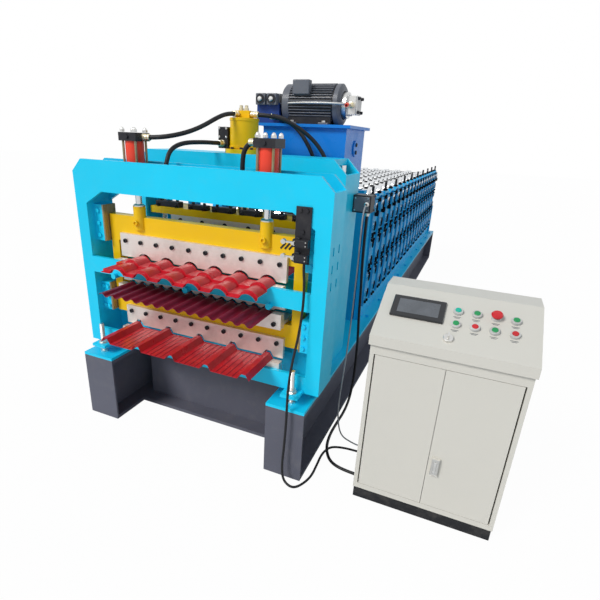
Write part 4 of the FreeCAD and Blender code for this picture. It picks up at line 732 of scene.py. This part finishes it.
# %% Limit switches
SWITCHES = (1.097, 1.161)
COVER_FACE = -0.2695
second_finish("limit_switches", "zinc", lambda face: face.center.x < 0.551 and face.center.z < 1.2)
covers = []
for low in SWITCHES:
    covers.append(block((0.556, COVER_FACE, low + 0.004), (0.618, -0.2665, low + 0.03), 0.001))
    covers.append(block((0.561, -0.262, low + 0.034), (0.582, -0.245, low + 0.041), 0.001))
dress(joined(covers), "switch_covers", "black_oxide")
corners = ((0.561, 0.009), (0.613, 0.009), (0.561, 0.025), (0.613, 0.025))
fasten("switch_cover_screws", hex_screw(0.0028, 0.002),
       [loose((x, COVER_FACE, low + z), "-Y") for low in SWITCHES for x, z in corners], "zinc")
fasten("switch_pivots", hex_screw(0.008, 0.006),
       [facing((0.556, COVER_FACE, low + 0.017), "-Y") for low in SWITCHES], "zinc")
fasten("strap_screws", hex_screw(0.009, 0.007),
       [loose((x, -0.241, z), "-Y") for x, z in ((0.572, 1.315), (0.602, 1.315), (0.587, 1.225))],
       "black_oxide")
print("switch covers", len(covers))

# %% Stripes on the cutter beam
leaning = Matrix.Rotation(math.radians(40), 4, "Y")
marks = []
for i in range(3):
    mark = block((-0.0045, -0.1493, -0.019), (0.0045, -0.148, 0.019), 0)
    mark.data.transform(Matrix.Translation((0.459 + i * 0.021, 0, 1.132)) @ leaning)
    marks.append(mark)
dress(joined(marks), "beam_stripes", "plinth_black", "cutter")
print("stripes", len(marks))

# %% [markdown]
# ## Step press
# Dark clamps hold the die under the yellow beam, each with two pairs of screws. The cylinder is
# bolted down by a ring of screws, two brass fittings stand on its cap, and its valve block
# is held by four small screws.

# %% Press clamps
PRESS_Y = 0.3185
BEAM_TOP = 1.1795
CLAMPS = ((-0.555, -0.385, 0.034), (-0.322, -0.195, 0.028), (-0.158, -0.02, 0.03),
          (0.02, 0.15, 0.03), (0.18, 0.3, 0.026), (0.345, 0.5, 0.034))
clamps = []
clamp_screws = []
for left, right, high in CLAMPS:
    clamps.append(block((left, 0.222, BEAM_TOP), (right, 0.268, BEAM_TOP + high), 0.003))
    top = BEAM_TOP + high
    clamp_screws += [loose((x, 0.245, top), "+Z") for x in (left + 0.025, right - 0.025)]
    clamp_screws += [loose((x, 0.222, 1.19), "-Y") for x in (left + 0.02, right - 0.02)]
dress(joined(clamps), "die_clamps", "black_oxide", "press_ram")
fasten("clamp_screws", socket_screw(0.009, 0.012), clamp_screws, "black_oxide", "press_ram")
print("clamps", len(clamps))

# %% Press cylinder
RING = 0.091
ring = [(RING * math.cos(i * math.tau / 10), PRESS_Y + RING * math.sin(i * math.tau / 10))
        for i in range(10)]
fasten("flange_screws", socket_screw(0.0085, 0.009),
       [facing((x, y, 1.527), "+Z") for x, y in ring], "black_oxide")
fasten("cylinder_bands",
       turned([(0.0782, 0), (0.0805, 0.001), (0.0805, 0.013), (0.0782, 0.014)], 40),
       [(0, PRESS_Y, z) for z in (1.53, 1.669)], "frame_yellow")
fasten("port_fittings",
       turned([(AXIS, 0), (0.0125, 0), (0.0125, 0.012), (0.009, 0.014), (0.009, 0.026),
               (AXIS, 0.028)], 16),
       [(x, PRESS_Y, 1.721) for x in (-0.02, 0.012)], "fitting")
fasten("post_collars",
       turned([(0.0205, 0), (0.034, 0), (0.034, 0.012), (0.031, 0.015), (0.0205, 0.015)], 28),
       [(x, PRESS_Y, BEAM_TOP) for x in (-0.572, 0.572)], "zinc", "press_ram")
fasten("press_valve_screws", socket_screw(0.0055, 0.006),
       [facing((x, 0.2735, z), "-Y") for x in (-0.13, -0.086) for z in (1.585, 1.628)], "zinc")
fasten("die_screws", turned([(AXIS, 0), (0.015, 0), (0.015, 0.002), (AXIS, 0.002)], 20),
       [facing((-0.373 + i * 0.153, 0.215, 1.109), "-Y") for i in range(6)],
       "plinth_black", "press_ram")
print("flange screws", len(ring))

# %% [markdown]
# ## Hydraulic unit
# The motor is a ribbed casting with a fan cowl behind and a pale gear pump in front. The
# manifold is painted dark blue and carries square black coils. The tank has a welded rim
# under its lid and a boss with the level plugs on its side.

# %% Motor
AXIS_Y, AXIS_Z = 0.737, 1.781
FINS = 44
UNDERSIDE = -0.8  # below this sine the feet and the box stand, so there are no fins
FEET_X = (0.15, 0.345)
FEET_TOP = 1.684
fins = []
for i in range(FINS):
    angle = i * math.tau / FINS
    if math.sin(angle) < UNDERSIDE:
        continue
    around = Matrix.Translation((0, AXIS_Y, AXIS_Z)) @ Matrix.Rotation(angle, 4, "X")
    fins.append(around @ Matrix.Translation((0, 0.109, 0)))
fasten("motor_fins", block((0.122, -0.006, -0.0022), (0.382, 0.006, 0.0022), 0.0008, 1), fins,
       "motor_black")
cowl = turned([(0.06, -0.002), (0.1, -0.002), (0.1125, 0.006), (0.1125, 0.046),
               (0.107, 0.048)], 48)
shield = turned([(0.106, -0.03), (0.114, -0.028), (0.114, -0.004), (0.1, 0.006),
                 (0.075, 0.009)], 48)
cowl.data.transform(facing((0.075, AXIS_Y, AXIS_Z), "+X"))
shield.data.transform(facing((0.42, AXIS_Y, AXIS_Z), "+X"))
dress(joined([cowl, shield]), "motor_end_covers", "motor_black")
terminal_box = block((0.15, 0.612, 1.83), (0.25, 0.66, 1.905), 0.004)
feet = [block((x - 0.03, 0.617, 1.672), (x + 0.03, 0.857, FEET_TOP), 0.002) for x in FEET_X]
dress(joined([terminal_box] + feet), "motor_box_and_feet", "motor_black")
fasten("motor_foot_bolts", hex_screw(0.011, 0.009),
       [loose((x, y, FEET_TOP), "+Z") for x in FEET_X for y in (0.628, 0.846)], "zinc")
print("fins", len(fins))

# %% Gear pump
PUMP_BOLTS = (-0.036, 0.036)
flange = block((0.455, 0.684, 1.728), (0.467, 0.79, 1.834), 0.004)
cover = block((0.505, 0.687, 1.731), (0.5175, 0.787, 1.831), 0.006)
dress(joined([flange, cover]), "pump_covers", "cast_grey")
fasten("pump_bolts", socket_screw(0.0085, 0.012),
       [facing((0.5175, AXIS_Y + a, AXIS_Z + b), "+X") for a in PUMP_BOLTS for b in PUMP_BOLTS],
       "black_oxide")
fasten("pump_port",
       turned([(AXIS, 0), (0.017, 0), (0.017, 0.012), (0.0125, 0.014), (0.0125, 0.03),
               (AXIS, 0.032)], 20),
       [facing((0.483, 0.689, AXIS_Z), "-Y")], "fitting")
print("pump bolts", len(PUMP_BOLTS) ** 2)

# %% Manifold and coils
VALVES = (-0.0435, 0.0285)
second_finish("valve_blocks", "manifold_navy",
              lambda face: face.center.y > 0.6 and face.center.z < 1.7845)
coils = [block((x - 0.031, y, 1.771), (x + 0.031, y + 0.048, 1.833), 0.004)
         for x in VALVES for y in (0.592, 0.764)]
dress(joined(coils), "valve_coils", "motor_black")
fasten("coil_nuts",
       turned([(AXIS, 0), (0.0135, 0), (0.0135, 0.006), (0.009, 0.01), (AXIS, 0.011)], 18),
       [facing((x, 0.587, 1.802), "-Y") for x in VALVES], "zinc")
dress(joined([block((x - 0.028, 0.645, 1.784), (x + 0.028, 0.76, 1.836), 0.003) for x in VALVES]),
      "valve_bodies", "cast_grey")
print("coils", len(coils))

# %% Pipe from the pump
bpy.ops.curve.primitive_bezier_curve_add()
pipe = bpy.context.object
ends = pipe.data.splines[0].bezier_points
PIPE = (((0.483, 0.655, 1.781), (0.483, 0.575, 1.781)),
        ((0.064, 0.646, 1.782), (0.26, 0.585, 1.79)))
for knot, (place, handle) in zip(ends, PIPE):
    knot.co = place
    knot.handle_left_type = knot.handle_right_type = "FREE"
for knot, (place, handle) in zip(ends, PIPE):
    knot.handle_left = knot.handle_right = handle
pipe.data.bevel_depth = 0.0062
pipe.data.bevel_resolution = 4
bpy.ops.object.convert(target="MESH")
dress(pipe, "pump_pipe", "cast_grey")
ferrule = turned([(0.0063, 0), (0.0098, 0.001), (0.0098, 0.026), (0.0063, 0.027)], 16)
along = Matrix.Rotation(math.radians(104), 4, "X")
ferrule.data.transform(Matrix.Translation((0.478, 0.634, 1.781)) @ along)
dress(ferrule, "pipe_ferrule", "cylinder_red")
print("pipe faces", len(pipe.data.polygons))

# %% Tank
boss = turned([(AXIS, 0), (0.046, 0), (0.046, 0.005), (0.042, 0.008), (AXIS, 0.008)], 32)
boss.data.transform(facing((0.505, 0.767, 1.55), "+X"))
dress(boss, "level_boss", "tank_blue")
fasten("level_plugs", turned([(AXIS, 0), (0.011, 0), (0.011, 0.006), (AXIS, 0.007)], 16),
       [facing((0.513, 0.767, z), "+X") for z in (1.571, 1.529)], "plinth_black")
dress(block((-0.0065, 0.5655, 1.648), (0.5065, 0.9685, 1.6555), 0.002), "tank_rim", "tank_blue")
print("tank boss and rim")

# %% Junction box
lid = block((0.64, 0.355, 1.246), (0.724, 0.3605, 1.324), 0.003)
ears = [block((0.628, 0.447, z), (0.736, 0.452, z + 0.012), 0.001) for z in (1.242, 1.316)]
dress(joined(ears + [lid]), "junction_lid", "motor_black")
fasten("junction_screws", hex_screw(0.004, 0.003),
       [loose((x, 0.355, z), "-Y") for x in (0.648, 0.716) for z in (1.254, 1.316)], "zinc")
thin = turned([(0.0075, 0), (0.013, 0), (0.013, 0.008), (0.0105, 0.01), (0.0105, 0.018),
               (0.0075, 0.019)], 18)
thin.data.transform(facing(CORDS["cable_signal"][1][0], "-Y"))
thick = turned([(0.0085, 0), (0.0145, 0), (0.0145, 0.01), (0.012, 0.012), (0.012, 0.02),
                (0.0085, 0.021)], 18)
thick.data.transform(facing(CORDS["cable_supply"][1][0], "-Z"))
dress(joined([thin, thick]), "junction_glands", "zinc")
print("junction box")

# %% [markdown]
# ## Roll stands
# Every bearing stack is screwed through the wall, and tie bars join its housings, so that small
# black bolts stand in clusters between the decks. The lock nuts of the adjusting
# bolts sit on the cap plates. Each tile roll carries a rim at both edges, and dark rings between
# the rims are painted shade for the gaps between the rolls.

# %% Bolts on the stand walls
STATIONS = [1.043 + 0.208 * i for i in range(19)]
WALL, BAR = 0.614, 0.62
BETWEEN_DECKS = (0.988, 0.772)
OUTWARD = {-1: "-X", 1: "+X"}
cluster = []
for y in STATIONS:
    for side, way in OUTWARD.items():
        for z in BETWEEN_DECKS:
            cluster += [facing((side * WALL, y + a, z + b), way)
                        for a in (-0.026, 0.026) for b in (-0.02, 0.02)]
        cluster += [facing((side * WALL, y + a, 0.52), way) for a in (-0.026, 0.026)]
fasten("stand_cluster_bolts", hex_screw(0.0105, 0.012), cluster, "bolt_black")
bars = [block((left, y - 0.032, z - 0.006), (right, y + 0.032, z + 0.006), 0)
        for y in STATIONS for left, right in ((WALL, BAR), (-BAR, -WALL)) for z in BETWEEN_DECKS]
dress(joined(bars), "stand_tie_bars", "bolt_black")
print("stand bolts", len(cluster), "bars", len(bars))

# %% Nuts of the adjusting bolts
fasten("stand_clamp_nuts", hex_screw(0.021, 0.02),
       [loose((side * WALL, y, 1.148), way) for y in STATIONS for side, way in OUTWARD.items()],
       "bolt_black")
fasten("lock_nuts", hex_screw(0.0165, 0.012),
       [loose((side * 0.584, y, 1.259), "+Z") for y in STATIONS for side in OUTWARD], "bolt_black")
second_finish("adjusting_caps", "stand_blue",
              lambda face: face.center.z < 1.2595 and face.area > 0.0001)
fasten("stand_top_nuts", hex_screw(0.0145, 0.014),
       [loose((side * 0.6, y + a, 1.222), way)
        for y in STATIONS for side, way in OUTWARD.items() for a in (-0.062, 0.062)], "bolt_black")
print("stations", len(STATIONS))

# %% Rolls and base plates
ROLL_PITCH = 0.15667
# Dark rings between the rims: painted shade for the gaps between the rolls.
fasten("roll_spacers",
       turned([(0.0345, -0.034), (0.0405, -0.034), (0.0405, 0.034), (0.0345, 0.034)], 14),
       [facing((-0.3133 + i * ROLL_PITCH, y, z), "+X")
        for y in STATIONS for i in range(5) for z in (1.182, 1.062)], "plinth_black")
rims = [facing((-0.39167 + i * ROLL_PITCH, y, 1.182), "+X") for y in STATIONS for i in range(6)]
fasten("roll_rims",
       turned([(0.0565, -0.031), (0.0595, -0.028), (0.0595, -0.02), (0.0565, -0.017),
               (0.0565, 0.017), (0.0595, 0.02), (0.0595, 0.028), (0.0565, 0.031)], 20),
       rims, "roll_chrome")
for name in ("tile_rolls", "corrugated_rolls", "rib_rolls"):
    second_finish(name, "bolt_black", lambda face: abs(face.center.x) > 0.6)
fasten("base_plate_bolts", hex_screw(0.013, 0.01),
       [loose((side * 0.645, y, 0.4), "+Z") for y in STATIONS[::2] for side in OUTWARD],
       "stand_blue")
print("rims", len(rims))

# %% [markdown]
# ## Sheets
# The pans of the rib sheet are stiffened by fine pressed lines. They are only a millimetre high,
# and their darker maroon is painted shade, which shows them along the whole sheet.

# %% Lines in the rib sheet
PAN = 0.2045
HALF_LINE = 0.0018
lines = []
for pan in range(4):
    centre = -0.409 + (pan + 0.5) * PAN
    for shift in (-0.044, -0.015, 0.015, 0.044):
        lines.append(block((centre + shift - HALF_LINE, -0.434, 0.5574),
                           (centre + shift + HALF_LINE, -0.174, 0.5586), 0))
# The raised lines are real. Their darker maroon is painted shade in the pressed lines.
dress(joined(lines), "rib_sheet_lines", "sheet_maroon")
print("lines", len(lines))

# %% [markdown]
# ## Control desk
# The sloping panel carries a screen in a black bezel, two rows of lit buttons, a red stop
# mushroom and a key switch. Everything is set in the plane of the panel by one matrix. Two
# short plain lines under each button stand for its label.

# %% Screen
slope = Matrix.Rotation(math.atan2(0.144, 0.285), 4, "X")
panel = Matrix.Translation((0.944, -0.322, 0.856)) @ slope


def on_panel(piece, x, y, z=0.0):
    """Stand a piece on the sloping panel, at a place right of and up from its corner."""
    piece.data.transform(panel @ Matrix.Translation((x, y, z)))
    return piece


bezel = block((0, 0, 0), (0.217, 0.122, 0.012), 0.004)
dress(on_panel(bezel, 0.043, 0.126), "screen_bezel", "screen_black")
glass = block((0, 0, 0), (0.168, 0.08, 0.0015), 0.0005, 1)
dress(on_panel(glass, 0.069, 0.147, 0.0115), "screen_glass", "panel_grey")
print("screen", tuple(round(size, 3) for size in bezel.dimensions))

# %% Buttons and key
COLLAR = [(AXIS, 0), (0.0195, 0), (0.0195, 0.011), (0.0175, 0.013), (AXIS, 0.013)]
BUTTON = [(AXIS, 0.012), (0.0122, 0.012), (0.0122, 0.0155), (0.011, 0.0165), (AXIS, 0.017)]
MUSHROOM = [(AXIS, 0.012), (0.012, 0.012), (0.012, 0.018), (0.0215, 0.02), (0.0225, 0.025),
            (0.018, 0.031), (AXIS, 0.033)]
STOP = (0, 2)
ROWS = ((0.211, ("button_teal", "button_green", "button_red", "button_green")),
        (0.137, ("button_green", "button_red", "button_green", "button_red")))
columns = [0.309 + i * 0.0725 for i in range(4)]
for row, (up, colors) in enumerate(ROWS):
    for i, color in enumerate(colors):
        collar = on_panel(turned(COLLAR, 24), columns[i], up)
        dress(collar, f"button_collar_{row}_{i}", "panel_pale")
        shape = MUSHROOM if (row, i) == STOP else BUTTON
        dress(on_panel(turned(shape, 24), columns[i], up), f"button_{row}_{i}", color)
key = joined([turned(COLLAR, 24), block((-0.0035, -0.011, 0.013), (0.0035, 0.011, 0.034), 0.001)])
dress(on_panel(key, 0.292, 0.055), "key_switch", "zinc")
slips = joined([
    on_panel(block((-wide, -0.0012, 0), (wide, 0.0012, 0.0006), 0), x, up - down)
    for x in columns for up, _ in ROWS for down, wide in ((0.028, 0.015), (0.034, 0.01))])
dress(slips, "button_marks", "panel_grey")
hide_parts("desk_fittings")
for piece in [glass, key, slips] + [o for o in bpy.data.objects if o.name.startswith("button_")]:
    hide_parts("desk_fittings")
print("buttons", len(columns) * len(ROWS))

# %% Door handle and vents
recess = block((1.267, -0.3212, 0.262), (1.299, -0.3198, 0.346), 0.003)
dress(recess, "handle_plate", "zinc", "right_door")
grip = block((1.276, -0.3245, 0.275), (1.29, -0.3208, 0.333), 0.003)
dress(grip, "handle_grip", "panel_pale", "right_door")
vents = [block((1.562, y, 0.2), (1.5635, y + 0.01, 0.3), 0)
         for y in (-0.2 + i * 0.024 for i in range(8))]
dress(joined(vents), "side_vents", "plinth_black")
print("vents", len(vents))

# %% [markdown]
# ## Light, floor and the end
# Even workshop light: a broad soft sun from the front left, a weaker one from the right, and a pale
# sky. The floor and the sky look white to the camera only, so that the white page of the
# photo is there without pouring more light on the machine. Glossy paint and chrome see a sky
# that is nearly as bright, which gives them their highlights.

# %% Lamps


def sun(name, direction, strength, angle):
    """A distant lamp that shines along a direction."""
    bpy.ops.object.light_add(type="SUN", location=(0, 0, 6))
    light = bpy.context.object
    light.name = name
    light.data.energy = strength
    light.data.angle = math.radians(angle)
    light.data.color = (1.0, 0.975, 0.945)
    light.rotation_euler = Vector(direction).to_track_quat("-Z", "Y").to_euler()


sun("key_sun", (0.45, 0.78, -0.75), 2.15, 20)
sun("side_sun", (-0.8, 0.35, -0.7), 0.08, 35)

# %% Floor
FLOOR_WHITE = 0.975  # the rest of the floor is its own shade, so that shadows still show
only(camera)
bpy.ops.mesh.primitive_plane_add(size=60, location=(0, 2, -0.0005))
floor = bpy.context.object
floor.name = "studio_floor"
material, tree, shader, place = shader_material("studio_floor")
shader.inputs["Roughness"].default_value = 0.8
shader.inputs["Base Color"].default_value = (0.75, 0.75, 0.75, 1)
glow = tree.nodes.new("ShaderNodeEmission")
mixer = tree.nodes.new("ShaderNodeMixShader")
seen = tree.nodes.new("ShaderNodeLightPath").outputs["Is Camera Ray"]
wire(tree, spread(tree, seen, 0.0, 1.0, 0.0, FLOOR_WHITE), mixer.inputs["Fac"])
wire(tree, shader.outputs["BSDF"], mixer.inputs[1])
wire(tree, glow.outputs["Emission"], mixer.inputs[2])
wire(tree, mixer.outputs["Shader"], tree.nodes["Material Output"].inputs["Surface"])
floor.data.materials.append(material)
print("floor", floor.name)

# %% Sky
SKY_FILL, SKY_GLOSS = 0.44, 0.8
world = bpy.context.scene.world or bpy.data.worlds.new("studio_world")
bpy.context.scene.world = world
world.use_nodes = True
sky = world.node_tree
backing = sky.nodes["Background"]
rays = sky.nodes.new("ShaderNodeLightPath").outputs
glossy = maths(sky, "MULTIPLY", rays["Is Glossy Ray"], SKY_GLOSS)
bright = maths(sky, "MAXIMUM", rays["Is Camera Ray"], glossy)
wire(sky, spread(sky, bright, 0.0, 1.0, SKY_FILL, 1.0), backing.inputs["Strength"])
wire(sky, blended(sky, bright, (0.86, 0.95, 1.05, 1), (1, 1, 1, 1)), backing.inputs["Color"])
bpy.context.scene.view_settings.view_transform = "Standard"
print("sky", world.name)
